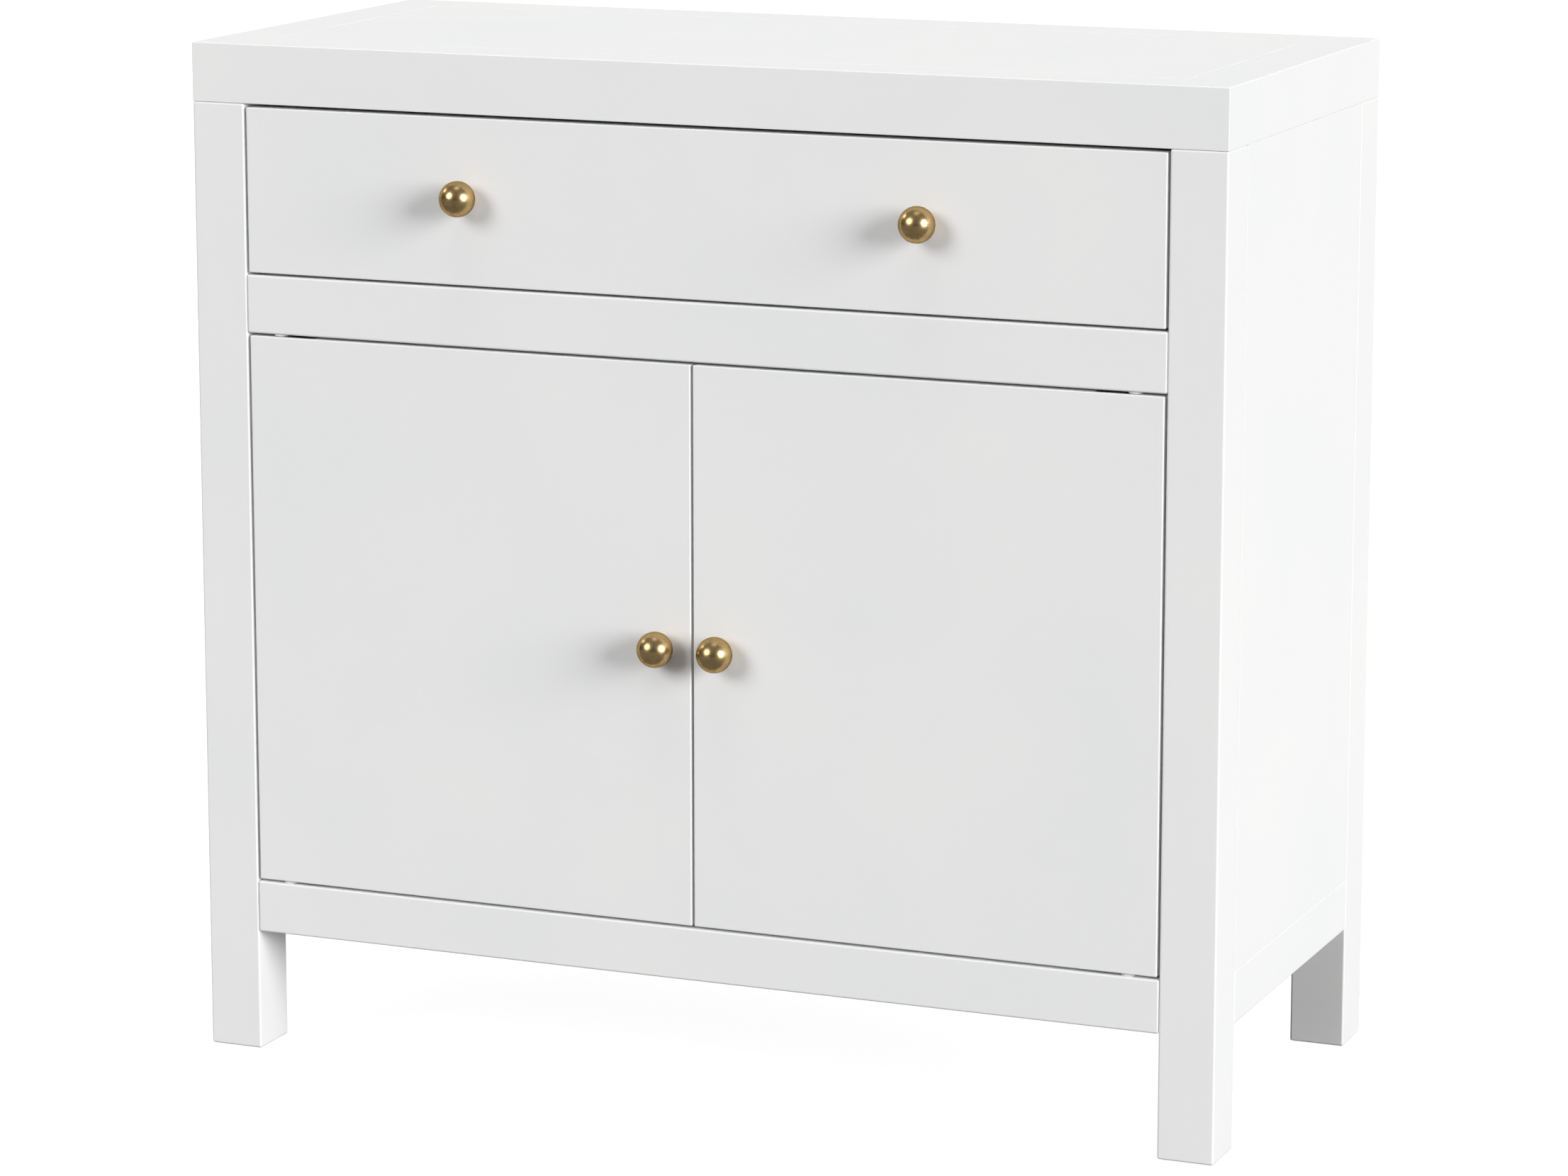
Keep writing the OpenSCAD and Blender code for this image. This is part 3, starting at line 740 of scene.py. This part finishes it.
def grow(mesh, tree, sizes, slotName):
    holder = holderFor(mesh)
    modifier = holder.modifiers.new("grow", "NODES")
    modifier.node_group = tree
    values = {**sizes, "Finish": finishes[slotName]}
    for item in tree.interface.items_tree:
        if item.in_out == "INPUT" and item.name in values:
            modifier[item.identifier] = values[item.name]
    return evaluatedMesh(holder)


def joined(meshes, name, sharpAngle=32):
    bm = bmesh.new()
    for mesh in meshes:
        bm.from_mesh(mesh)
    return meshOf(bm, name, sharpAngle)


def vector(wire, x=0.0, y=0.0, z=0.0):
    return wire.make("ShaderNodeCombineXYZ", {}, {"X": x, "Y": y, "Z": z})


screw = {
    "core": 0.74,                 # between the threads, of the shank's width
    "point": 0.2,                 # at the tip, of the shank's width
    "taper": 0.85,                # where the point begins, of the length
    "neck": 0.015,                # above the thread, of the length
    "recess": (0.56, 0.15, 0.3),  # length, width and depth of the cross, of the head's width
    "pan": 1.9,                   # a head wider than this many shanks is a pan head
    "panHeight": 0.0025,
    "panPitch": 0.0008,
    "pitch": 0.0014,
}


def screwTree():
    # a point and its aim become a screw with a cross recess and a rolled thread
    tree, w, given = startTree("screws", {
        "Length": ("Float", 0.014), "Shank": ("Float", 0.0035), "Head": ("Float", 0.0065),
        "Head Height": ("Float", 0.0015), "Head Foot": ("Float", 0.0035), "Pitch": ("Float", 0.0014),
        "Seed": ("Int", 1),
    })
    length, shank, head = given["Length"], given["Shank"], given["Head"]
    bore = w.make("GeometryNodeMeshCylinder", {}, {
        "Vertices": 12, "Side Segments": length / given["Pitch"] * 4, "Radius": shank * 0.5, "Depth": length,
    })
    bx, by, bz = xyz(w, w.make("GeometryNodeInputPosition"))
    depth = bz + length * 0.5
    turn = w.math("ARCTAN2", by, bx) * (0.5 / math.pi)
    ridge = abs((depth / given["Pitch"] - turn) % 1 - 0.5) * 2
    point = between(w, depth / length, 1, screw["point"], screw["taper"], 1)
    narrow = (screw["core"] + ridge * (1 - screw["core"])) * point
    along = depth * (1 - screw["neck"]) + length * screw["neck"]
    rod = w.make("GeometryNodeSetPosition", {}, {
        "Geometry": bore, "Position": vector(w, bx * narrow, by * narrow, along),
    })
    cone = w.make("GeometryNodeMeshCone", {}, {
        "Vertices": 28, "Side Segments": 3, "Radius Top": given["Head Foot"] * 0.5,
        "Radius Bottom": head * 0.5, "Depth": given["Head Height"],
    })
    reach, wide, deep = screw["recess"]
    arms = [
        w.make("GeometryNodeMeshCube", {}, {"Size": vector(w, *[head * share for share in size])})
        for size in ((reach, wide, deep), (wide, reach, deep))
    ]
    cut = w.make("GeometryNodeMeshBoolean", {"operation": "DIFFERENCE", "solver": "EXACT"}, {
        "Mesh 1": cone, "Mesh 2": arms,
    })
    whole = w.make("GeometryNodeJoinGeometry", {}, {"Geometry": [cut, rod]})
    aim = w.make("GeometryNodeInputNamedAttribute", {"data_type": "FLOAT_VECTOR"}, {"Name": "aim"})
    facing = w.make("FunctionNodeAlignRotationToVector", {"axis": "Z"}, {"Vector": aim})
    spin = w.make("FunctionNodeRandomValue", {"data_type": "FLOAT"}, {
        2: 0.0, 3: 6.28, "Seed": given["Seed"],  # from none to a full turn
    }, 1)
    twist = w.make("FunctionNodeAxisAngleToRotation", {}, {"Axis": (0, 0, 1), "Angle": spin})
    final = w.make("FunctionNodeRotateRotation", {"rotation_space": "LOCAL"}, {
        "Rotation": facing, "Rotate By": twist,
    })
    copies = w.make("GeometryNodeInstanceOnPoints", {}, {
        "Points": given["Geometry"], "Instance": whole, "Rotation": final,
    })
    closeTree(w, given, copies)
    return tree


def solidsOf(node):
    # the separate solids of a node, as arrays of points
    bm = bmesh.new()
    bm.from_mesh(frame["nodes"][node].data)
    bmesh.ops.remove_doubles(bm, verts=bm.verts, dist=2e-6)
    found, seen = [], set()
    for first in bm.verts:
        if first in seen:
            continue
        seen.add(first)
        members, waiting = [], [first]
        while waiting:
            vert = waiting.pop()
            members.append(vert.co[:])
            for edge in vert.link_edges:
                near = edge.other_vert(vert)
                if near not in seen:
                    seen.add(near)
                    waiting.append(near)
        found.append(np.array(members))
    bm.free()
    return found


def pointMesh(spots, aims=None):
    mesh = bpy.data.meshes.new("spots")
    mesh.from_pydata([tuple(s) for s in spots], [], [])
    if aims is not None:
        layer = mesh.attributes.new("aim", "FLOAT_VECTOR", "POINT")
        layer.data.foreach_set("vector", np.array(aims, np.float32).ravel())
    return mesh


def screwsOf(node, tree):
    # the CAD screws say where each head is, which way the screw points, and its sizes
    kinds = {}
    for points in solidsOf(node):
        low, high = points.min(0), points.max(0)
        axis = int(np.argmax(high - low))
        across = [k for k in range(3) if k != axis]
        widths = []
        for end in (low[axis], high[axis]):
            ring = points[np.abs(points[:, axis] - end) < 5e-5][:, across]
            widths.append(float(np.ptp(ring, axis=0).max()))
        headAt = low[axis] if widths[0] > widths[1] else high[axis]
        spot = (low + high) / 2
        spot[axis] = headAt
        aim = np.zeros(3)
        aim[axis] = 1 if headAt == low[axis] else -1
        key = (round(max(widths), 4), round(min(widths), 4), round(float(high[axis] - low[axis]), 4))
        kinds.setdefault(key, []).append((spot, aim))
    meshes = []
    for seed, ((head, shank, length), found) in enumerate(sorted(kinds.items(), key=lambda kind: kind[0])):
        pan = head > screw["pan"] * shank
        sizes = {
            "Length": length, "Shank": shank, "Head": head, "Seed": seed + 3,
            "Head Height": screw["panHeight"] if pan else (head - shank) / 2,
            "Head Foot": head if pan else shank, "Pitch": screw["panPitch"] if pan else screw["pitch"],
        }
        spots, aims = zip(*found)
        meshes.append(grow(pointMesh(spots, aims), tree, sizes, "zinc_steel"))
    place(node + "_driven", joined(meshes, node), bodyOf[node], "zinc_steel", [node])
    return sum(len(found) for found in kinds.values())


tree = screwTree()
count = sum(screwsOf(node, tree) for node in bodyOf if node.endswith("_screws") or "_screws_" in node)
print("screws:", count)


dowel = {
    "flutes": 14,
    "depth": 0.0003,
    "chamfer": 0.001,  # length of the end that narrows
    "narrow": 0.7,     # how far it narrows, of the chamfer
}


def dowelTree():
    tree, w, given = startTree("dowels", {
        "Length": ("Float", 0.036), "Across": ("Float", 0.008), "Flutes": ("Int", 14),
        "Depth": ("Float", 0.0003), "Chamfer": ("Float", 0.001),
    })
    length, radius = given["Length"], given["Across"] * 0.5
    px, py, pz = xyz(w, w.make("GeometryNodeInputPosition"))
    stick = w.make("GeometryNodeMeshCylinder", {}, {
        "Vertices": given["Flutes"] * 4, "Side Segments": 12, "Radius": radius, "Depth": length,
    })
    angle = w.math("ARCTAN2", py, px)
    flute = (w.math("COSINE", angle * given["Flutes"]) * 0.5 + 0.5) ** 3
    atEnd = between(w, abs(pz) / length, 0, 1, 0.4, 0.5)
    shrink = 1 - (flute * given["Depth"] + atEnd * given["Chamfer"] * dowel["narrow"]) / radius
    fluted = w.make("GeometryNodeSetPosition", {}, {
        "Geometry": stick, "Position": vector(w, px * shrink, py * shrink, pz),
    })
    aim = w.make("GeometryNodeInputNamedAttribute", {"data_type": "FLOAT_VECTOR"}, {"Name": "aim"})
    facing = w.make("FunctionNodeAlignRotationToVector", {"axis": "Z"}, {"Vector": aim})
    copies = w.make("GeometryNodeInstanceOnPoints", {}, {
        "Points": given["Geometry"], "Instance": fluted, "Rotation": facing,
    })
    closeTree(w, given, copies)
    return tree


def dowels():
    spots, aims = [], []
    for points in solidsOf("dowels"):
        size = np.ptp(points, axis=0)
        spots.append((points.min(0) + points.max(0)) / 2)
        aims.append((size == size.max()).astype(float))
    sizes = {
        "Length": float(size.max()), "Across": float(size.min()), "Flutes": dowel["flutes"],
        "Depth": dowel["depth"], "Chamfer": dowel["chamfer"],
    }
    mesh = joined([grow(pointMesh(spots, aims), dowelTree(), sizes, "beech")], "dowels")
    low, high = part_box("dowels")
    markBoard(mesh, low, high, 9)
    place("dowels_fluted", mesh, "cabinet", "beech", ["dowels"])
    print("dowels:", len(spots))


dowels()


# runners: folded sheet with punched slots, and cages with their balls

runner = {
    "sheet": 0.0012,
    "cageSheet": 0.0006,
    "bend": 0.0012,         # inside radius of the folds
    "cageBend": 0.0008,
    "ballGap": 0.0001,      # round a ball in its cage
    "lip": 0.0075,          # depth of a cage's lips
    "ballIn": 0.00525,      # from a cage's web to the balls
    "balls": 9,             # in a row, of which each cage has two
    "ball": 0.0033,
    "slot": (0.016, 0.0052),
    "round": (0.005, 0.005),
    "head": (0.0067, 0.0067),       # clears a screw's head
    "outerLip": (0.0089, 0.0103),   # where the outer member's lips turn, and their edge
    "outerTurn": 0.001,             # how far they turn in
    "middleWeb": 0.003,             # from the outer member's back to the web
    "middleReach": 0.0024,          # adds to the middle member's width
    "innerWeb": 0.0121,
    "innerLip": (0.0068, 0.0052),
    "innerTurn": 0.0009,
    "screwLong": (0.013, 0.015),    # the runners' screws are between these
}


def rounded(path, radius, steps=4):
    # the same path with its corners turned into arcs
    points = [Vector(path[0])]
    for before, corner, after in zip(path, path[1:], path[2:]):
        before, corner, after = Vector(before), Vector(corner), Vector(after)
        a, b = (before - corner).normalized(), (after - corner).normalized()
        half = a.angle(b) / 2
        if half > 1.56:  # all but straight
            points.append(corner)
            continue
        back = min(radius / math.tan(half), (before - corner).length * 0.45, (after - corner).length * 0.45)
        use = back * math.tan(half)
        middle = corner + (a + b).normalized() * (use / math.sin(half))
        start, end = corner + a * back - middle, corner + b * back - middle
        whole = start.angle(end)
        for step in range(steps + 1):
            t = step / steps
            share = (start * math.sin((1 - t) * whole) + end * math.sin(t * whole)) / math.sin(whole)
            points.append(middle + share)
    return points + [Vector(path[-1])]


def foldedSheet(path, thickness, bend, start, end, sideways):
    # a strip of sheet folded along a path of (across, up), drawn out along Y
    line = rounded(path, bend + thickness / 2)
    offsets = []
    for k, spot in enumerate(line):
        ahead = line[min(k + 1, len(line) - 1)] - spot
        behind = spot - line[max(k - 1, 0)]
        run = (ahead.normalized() + behind.normalized()).normalized()
        offsets.append(Vector((-run.y, run.x)) * (thickness / 2))
    pairs = list(zip(line, offsets))
    outline = [p + o for p, o in pairs] + [p - o for p, o in reversed(pairs)]
    bm = bmesh.new()
    ends = [[bm.verts.new(sideways(p.x, y, p.y)) for p in outline] for y in (start, end)]
    count = len(outline)
    half = count // 2
    for k in range(count):
        j = (k + 1) % count
        bm.faces.new([ends[0][k], ends[0][j], ends[1][j], ends[1][k]])
    for ring in ends:  # the ends are narrow, so they close strip by strip
        for k in range(half - 1):
            bm.faces.new([ring[k], ring[k + 1], ring[count - 2 - k], ring[count - 1 - k]])
    bmesh.ops.recalc_face_normals(bm, faces=bm.faces)
    mesh = bpy.data.meshes.new("sheet")
    bm.to_mesh(mesh)
    bm.free()
    return mesh


def punchTree():
    # a row of slots or round holes through a sheet
    tree, w, given = startTree("punched", {
        "Start": ("Vector", (0, 0, 0)), "Step": ("Vector", (0, 0.01, 0)), "Count": ("Int", 2),
        "Length": ("Float", 0.01), "Width": ("Float", 0.005), "Depth": ("Float", 0.004),
        "Turn": ("Vector", (0, 0, 0)),
    })
    spots = w.make("GeometryNodeMeshLine", {"mode": "OFFSET"}, {
        "Count": given["Count"], "Start Location": given["Start"], "Offset": given["Step"],
    })
    outline = w.make("GeometryNodeCurvePrimitiveQuadrilateral", {}, {
        "Width": given["Length"], "Height": given["Width"],
    })
    outline = w.make("GeometryNodeFilletCurve", {"mode": "POLY"}, {
        "Curve": outline, "Radius": given["Width"] * 0.4999, "Count": 6,
    })
    line = w.make("GeometryNodeCurvePrimitiveLine", {}, {
        "Start": vector(w, z=given["Depth"] * -0.5), "End": vector(w, z=given["Depth"] * 0.5),
    })
    cutter = w.make("GeometryNodeCurveToMesh", {}, {
        "Curve": line, "Profile Curve": outline, "Fill Caps": True,
    })
    copies = w.make("GeometryNodeInstanceOnPoints", {}, {
        "Points": spots, "Instance": cutter, "Rotation": given["Turn"],
    })
    cut = w.make("GeometryNodeMeshBoolean", {"operation": "DIFFERENCE", "solver": "EXACT"}, {
        "Mesh 1": given["Geometry"], "Mesh 2": copies,
    })
    closeTree(w, given, cut)
    return tree


def ballTree():
    tree, w, given = startTree("balls", {"Across": ("Float", 0.0033)})
    ball = w.make("GeometryNodeMeshUVSphere", {}, {
        "Segments": 20, "Rings": 12, "Radius": given["Across"] * 0.5,
    })
    copies = w.make("GeometryNodeInstanceOnPoints", {}, {"Points": given["Geometry"], "Instance": ball})
    closeTree(w, given, copies)
    return tree


punching, rolling = punchTree(), ballTree()


def runnerMember(node, path, web, punches):
    low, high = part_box(node)
    way = 1 if low.x > 0 else -1
    middle = (low.z + high.z) / 2
    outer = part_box(node.replace("middle", "outer").replace("inner", "outer"))
    leg = outer[1].x if way > 0 else -outer[0].x

    def sideways(across, y, up):
        return Vector((way * (leg - across), y, middle + up))

    mesh = foldedSheet(path, runner["sheet"], runner["bend"], low.y, high.y, sideways)
    for first, step, count, size in punches:  # the first from the front end, then the step
        sizes = {
            "Start": tuple(sideways(web, low.y + first, 0)), "Step": (0, step, 0), "Count": count,
            "Length": size[0], "Width": size[1], "Turn": (0, math.pi / 2, 0),
        }
        mesh = grow(mesh, punching, sizes, "zinc_steel")
    place(node + "_rolled", joined([mesh], node), bodyOf[node], "zinc_steel", [node])


def ballCage(node):
    low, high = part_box(node)
    way = 1 if low.x > 0 else -1
    middle = (low.z + high.z) / 2
    web = high.x if way > 0 else -low.x
    row = (high.z - low.z) / 2 - runner["ball"] / 2
    sheet, lip, ball = runner["cageSheet"], runner["lip"], runner["ball"]
    pitch = (high.y - low.y) / runner["balls"]

    def sideways(across, y, up):
        return Vector((way * (web - across), y, middle + up))

    path = [(lip, -row), (sheet / 2, -row), (sheet / 2, row), (lip, row)]
    mesh = foldedSheet(path, sheet, runner["cageBend"], low.y, high.y, sideways)
    hole = ball + 2 * runner["ballGap"]
    spots = []
    for up in (-row, row):
        start = sideways(runner["ballIn"], low.y + pitch / 2, up)
        spots += [start + Vector((0, pitch * k, 0)) for k in range(runner["balls"])]
        sizes = {
            "Start": tuple(start), "Step": (0, pitch, 0), "Count": runner["balls"],
            "Length": hole, "Width": hole, "Depth": 0.002,
        }
        mesh = grow(mesh, punching, sizes, "ball_steel")
    place(node + "_strip", joined([mesh], node), bodyOf[node], "ball_steel", [node])
    balls = grow(pointMesh(spots), rolling, {"Across": ball}, "ball_steel")
    place(node + "_balls", joined([balls], node), bodyOf[node], "ball_steel", [node])
    return len(spots)


def runners():
    slot, drilled = runner["slot"], runner["round"]
    shortest, longest = runner["screwLong"]
    half = runner["sheet"] / 2  # paths run along the middle of the sheet
    balls = 0
    for side in ("left", "right"):
        low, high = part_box("runner_outer_" + side)
        screws = [
            float(points[:, 1].mean()) - low.y for points in solidsOf("cabinet_screws")
            if shortest < np.ptp(points[:, 0]) < longest and (points[:, 0].mean() > 0) == (side == "right")
        ]
        heads = [(s, 0, 1, runner["head"]) for s in sorted(set(round(s, 5) for s in screws))]
        flange = (high.z - low.z) / 2 - half
        (lip, edge), turn = runner["outerLip"], flange - runner["outerTurn"]
        runnerMember("runner_outer_" + side, [
            (edge, -turn), (lip, -flange), (half, -flange), (half, flange), (lip, flange), (edge, turn),
        ], half, heads + [(0.02, 0, 1, slot), (0.115, 0.07, 2, slot), (0.325, 0, 1, drilled)])
        low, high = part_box("runner_middle_" + side)
        flange, web = (high.z - low.z) / 2 - half, runner["middleWeb"]
        edge = abs(high.x - low.x) + runner["middleReach"]
        runnerMember("runner_middle_" + side, [
            (edge, -flange), (web, -flange), (web, flange), (edge, flange),
        ], web, [(0.03, 0.29, 2, slot), (0.0925, 0.055, 4, drilled)])
        low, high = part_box("runner_inner_" + side)
        flange, web = (high.z - low.z) / 2 - half, runner["innerWeb"]
        (lip, edge), turn = runner["innerLip"], flange + runner["innerTurn"]
        runnerMember("runner_inner_" + side, [
            (edge, -turn), (lip, -flange), (web, -flange), (web, flange), (lip, flange), (edge, turn),
        ], web, heads + [(0.022, 0, 1, slot), (0.12, 0.06, 2, slot), (0.322, 0, 1, drilled)])
        balls += ballCage("outer_cage_" + side) + ballCage("inner_cage_" + side)
    print("runners: 2, balls:", balls)


runners()


# small hardware

glide = {
    "round": 0.0008,
    "nail": 0.0035,                     # half the width of the nail's head
    "sunk": (0.0009, 0.0006, 0.0005),   # depth of the head at its middle, its shoulder and its edge
    "bevel": 0.0006,                    # slope round the head
    "shoulder": 0.6,                    # of the head's width
}


def footGlides():
    bm = bmesh.new()
    for points in solidsOf("foot_glides"):
        low, high = points.min(0), points.max(0)
        radius, r, nail = (high[0] - low[0]) / 2, glide["round"], glide["nail"]
        middle, shoulder, rim = glide["sunk"]
        centre = ((low[0] + high[0]) / 2, (low[1] + high[1]) / 2, low[2])
        profile = [(0, middle), (nail * glide["shoulder"], shoulder), (nail, rim), (nail + glide["bevel"], 0)]
        profile += arc((radius - r, r), r, -90, 0, 5)
        profile += [(radius, high[2] - low[2]), (0, high[2] - low[2])]
        turned(bm, profile, centre, (0, 0, 1), 48)
    place("foot_glides_moulded", meshOf(bm, "foot_glides", 40), "cabinet", "black_plastic", ["foot_glides"])


pin = {"across": 0.005, "flange": 0.009, "flangeThick": 0.0008, "round": 0.0006, "chamfer": 0.0003}


def shelfPins():
    bm = bmesh.new()
    for points in solidsOf("shelf_pins"):
        low, high = points.min(0), points.max(0)
        way = 1 if low[0] > 0 else -1
        start = low[0] if way > 0 else high[0]
        length, r, radius = high[0] - low[0], pin["round"], pin["across"] / 2
        flange, thick, half, c = pin["flange"] / 2, pin["flangeThick"], length / 2, pin["chamfer"]
        centre = (start, (low[1] + high[1]) / 2, (low[2] + high[2]) / 2)
        profile = [(0, 0)] + arc((radius - r, r), r, -90, 0, 4) + [(radius, half - thick)]
        profile += [(flange - c, half - thick), (flange, half - thick + c), (flange, half), (radius, half)]
        profile += arc((radius - r, length - r), r, 0, 90, 4) + [(0, length)]
        turned(bm, profile, centre, (way, 0, 0), 40)
    place("shelf_pins_turned", meshOf(bm, "shelf_pins", 40), "cabinet", "zinc_steel", ["shelf_pins"])


bush = {"chamfer": 0.0003, "inRail": 0.012}


def pivotBushes():
    bm = bmesh.new()
    for points in solidsOf("pivot_bushes"):
        low, high = points.min(0), points.max(0)
        flange = (high[0] - low[0]) / 2
        ends = [points[np.abs(points[:, 2] - z) < 5e-5] for z in (low[2], high[2])]
        wide = [float(np.ptp(e[:, 0])) / 2 for e in ends]
        way = 1 if wide[0] > wide[1] else -1  # from the flange into the rail
        start = low[2] if way > 0 else high[2]
        body = min(wide)
        rims = ends[0] if way > 0 else ends[1]
        centre = ((low[0] + high[0]) / 2, (low[1] + high[1]) / 2, start)
        gaps = np.hypot(rims[:, 0] - centre[0], rims[:, 1] - centre[1])
        bore, c = float(gaps.min()), bush["chamfer"]
        length = float(high[2] - low[2])
        thick = length - bush["inRail"]
        profile = [
            (bore, c), (bore + c, 0), (flange - c, 0), (flange, c), (flange, thick), (body, thick),
            (body, length - c), (body - c, length), (bore, length),
        ]
        turned(bm, profile, centre, (0, 0, way), 48, ring=True)
    place("pivot_bushes_turned", meshOf(bm, "pivot_bushes", 30), "cabinet", "white_nylon", ["pivot_bushes"])


catch = {
    "wall": 0.002,
    "pole": 0.0016,
    "poleLong": 0.008,
    "magnet": 0.005,
    "magnetBack": 0.0007,   # behind the poles' front
    "magnetIn": 0.0008,     # shorter than the poles, at each end
    "wide": 0.026,
    "round": 0.0009,
    "arris": 0.0003,
}


def magneticCatches():
    body, poles, magnets = bmesh.new(), bmesh.new(), bmesh.new()
    for points in solidsOf("door_catches"):
        low, high = Vector(points.min(0)), Vector(points.max(0))
        middle = (low + high) / 2
        front, end = low.y, low.y + catch["poleLong"]
        half, magnet, pole = catch["wide"] / 2, catch["magnet"] / 2, catch["pole"] / 2
        inner, back = half - catch["magnetIn"], front + catch["magnetBack"]
        roundedBlock(body, Vector((low.x, front + catch["wall"], low.z)), high, catch["round"], 3)
        for way in (-1, 1):
            edge = middle.z + way * (magnet + pole)
            roundedBlock(
                poles, Vector((middle.x - half, front, edge - pole)),
                Vector((middle.x + half, end, edge + pole)), catch["arris"]
            )
        roundedBlock(
            magnets, Vector((middle.x - inner, back, middle.z - magnet)),
            Vector((middle.x + inner, end, middle.z + magnet)), catch["arris"]
        )
    place("door_catches_moulded", meshOf(body, "catches"), "cabinet", "black_plastic", ["door_catches"])
    place("door_catch_poles", meshOf(poles, "poles"), "cabinet", "zinc_steel", ["door_catches"])
    place("door_catch_magnets", meshOf(magnets, "magnets"), "cabinet", "black_plastic", ["door_catches"])


plate = {"strike_": 0.0003, "door_pivots_": 0.0004}  # radius of the eased edges


def plates():
    # strike plates and pivot plates keep their bores
    for side in ("left", "right"):
        for kind, radius in plate.items():
            node = kind + side
            bm = cleanCopy(node)
            low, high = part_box(node)
            easeArrises(bm, low, high, radius, 2)
            place(node + "_plate", meshOf(bm, node, 25), bodyOf[node], "zinc_steel", [node])


footGlides()
shelfPins()
pivotBushes()
magneticCatches()
plates()
print("hardware: glides, pins, bushes, catches, plates")


# camera, floor, lamps and surroundings

view = {
    "place": (1.7130, -4.1271, 1.3295),
    "lens": 122.13,
    "turn": 22.508,   # degrees to the left of straight ahead
    "down": 10.848,
    "shift": -0.05,   # brings the uprights nearer to parallel
}


def camera():
    lens = bpy.data.cameras.new("camera")
    lens.lens = view["lens"]
    lens.sensor_width = 36
    lens.shift_y = view["shift"]
    lens.clip_start, lens.clip_end = 0.05, 100
    eye = bpy.data.objects.new("camera", lens)
    eye.location = view["place"]
    eye.rotation_euler = (math.radians(90 - view["down"]), 0, math.radians(view["turn"]))
    scene.collection.objects.link(eye)
    scene.camera = eye


floorLook = {
    "pale": 0.22,
    "glow": 0.93,  # shown to the camera only
    "radius": 40,
}


def paleFloor():
    finish, w = startFinish("paleFloor")
    seen = w.make("ShaderNodeLightPath", output="Is Camera Ray")
    matt = w.make("ShaderNodeBsdfDiffuse", {}, {"Color": (*[floorLook["pale"]] * 3, 1)})
    glow = w.make("ShaderNodeEmission", {}, {"Color": (1, 1, 1, 1), "Strength": seen * floorLook["glow"]})
    both = w.make("ShaderNodeAddShader", {}, {0: matt, 1: glow})
    w.make("ShaderNodeOutputMaterial", {}, {"Surface": both})
    bm = bmesh.new()
    bmesh.ops.create_circle(bm, cap_ends=True, radius=floorLook["radius"], segments=96)
    mesh = bpy.data.meshes.new("floor")
    bm.to_mesh(mesh)
    bm.free()
    mesh.materials.append(finish)
    floor = bpy.data.objects.new("floor", mesh)
    scene.collection.objects.link(floor)


lamps = {
    # azimuth from the front towards the right, height and apparent width in degrees, then strength
    "rightLamp": (70, 14.5, 30, 3.37),
    "leftLamp": (-30.7, 24.8, 30, 1.43),
    "topLamp": (20, 88, 30, 0.7),
    "ceilingLamp": (22, 84, 24, 0.13),
    "windowLamp": (-91.8, 31.5, 12, 0.22),
    "rearLamp": (198, 32, 40, 1.0),
}
softLamps = ["topLamp", "rearLamp"]  # light the surfaces, but make no highlight
lampReach = 5


def light(name, azimuth, height, width, strength):
    lamp = bpy.data.lights.new(name, "SUN")
    lamp.angle = math.radians(width)
    lamp.energy = strength
    holder = bpy.data.objects.new(name, lamp)
    a, h = math.radians(azimuth), math.radians(height)
    towards = Vector((math.sin(a) * math.cos(h), -math.cos(a) * math.cos(h), math.sin(h)))
    holder.location = towards * lampReach
    holder.rotation_mode = "QUATERNION"
    holder.rotation_quaternion = (-towards).to_track_quat("-Z", "Y")
    holder.visible_glossy = name not in softLamps
    scene.collection.objects.link(holder)


room = {0.0: 0.04, 0.15: 0.08, 0.5: 0.16, 1.0: 0.3}  # its light from below to above


def surroundings():
    world = bpy.data.worlds.new("studio")
    scene.world = world
    world.use_nodes = True
    world.node_tree.nodes.clear()
    w = Wire(world.node_tree)
    up = xyz(w, w.make("ShaderNodeTexCoord", output="Generated"))[2]
    glow = ramp(w, up, *[(height, (level,) * 3) for height, level in room.items()])
    seen = w.make("ShaderNodeLightPath", output="Is Camera Ray")
    shade = mixed(w, seen, glow, (1.0, 1.0, 1.0))
    back = w.make("ShaderNodeBackground", {}, {"Color": shade, "Strength": 1.0})
    w.make("ShaderNodeOutputWorld", {}, {"Surface": back})


camera()
paleFloor()
for name, values in lamps.items():
    light(name, *values)
surroundings()
scene.view_settings.view_transform = "Standard"
print("studio:", len(lamps), "lamps")
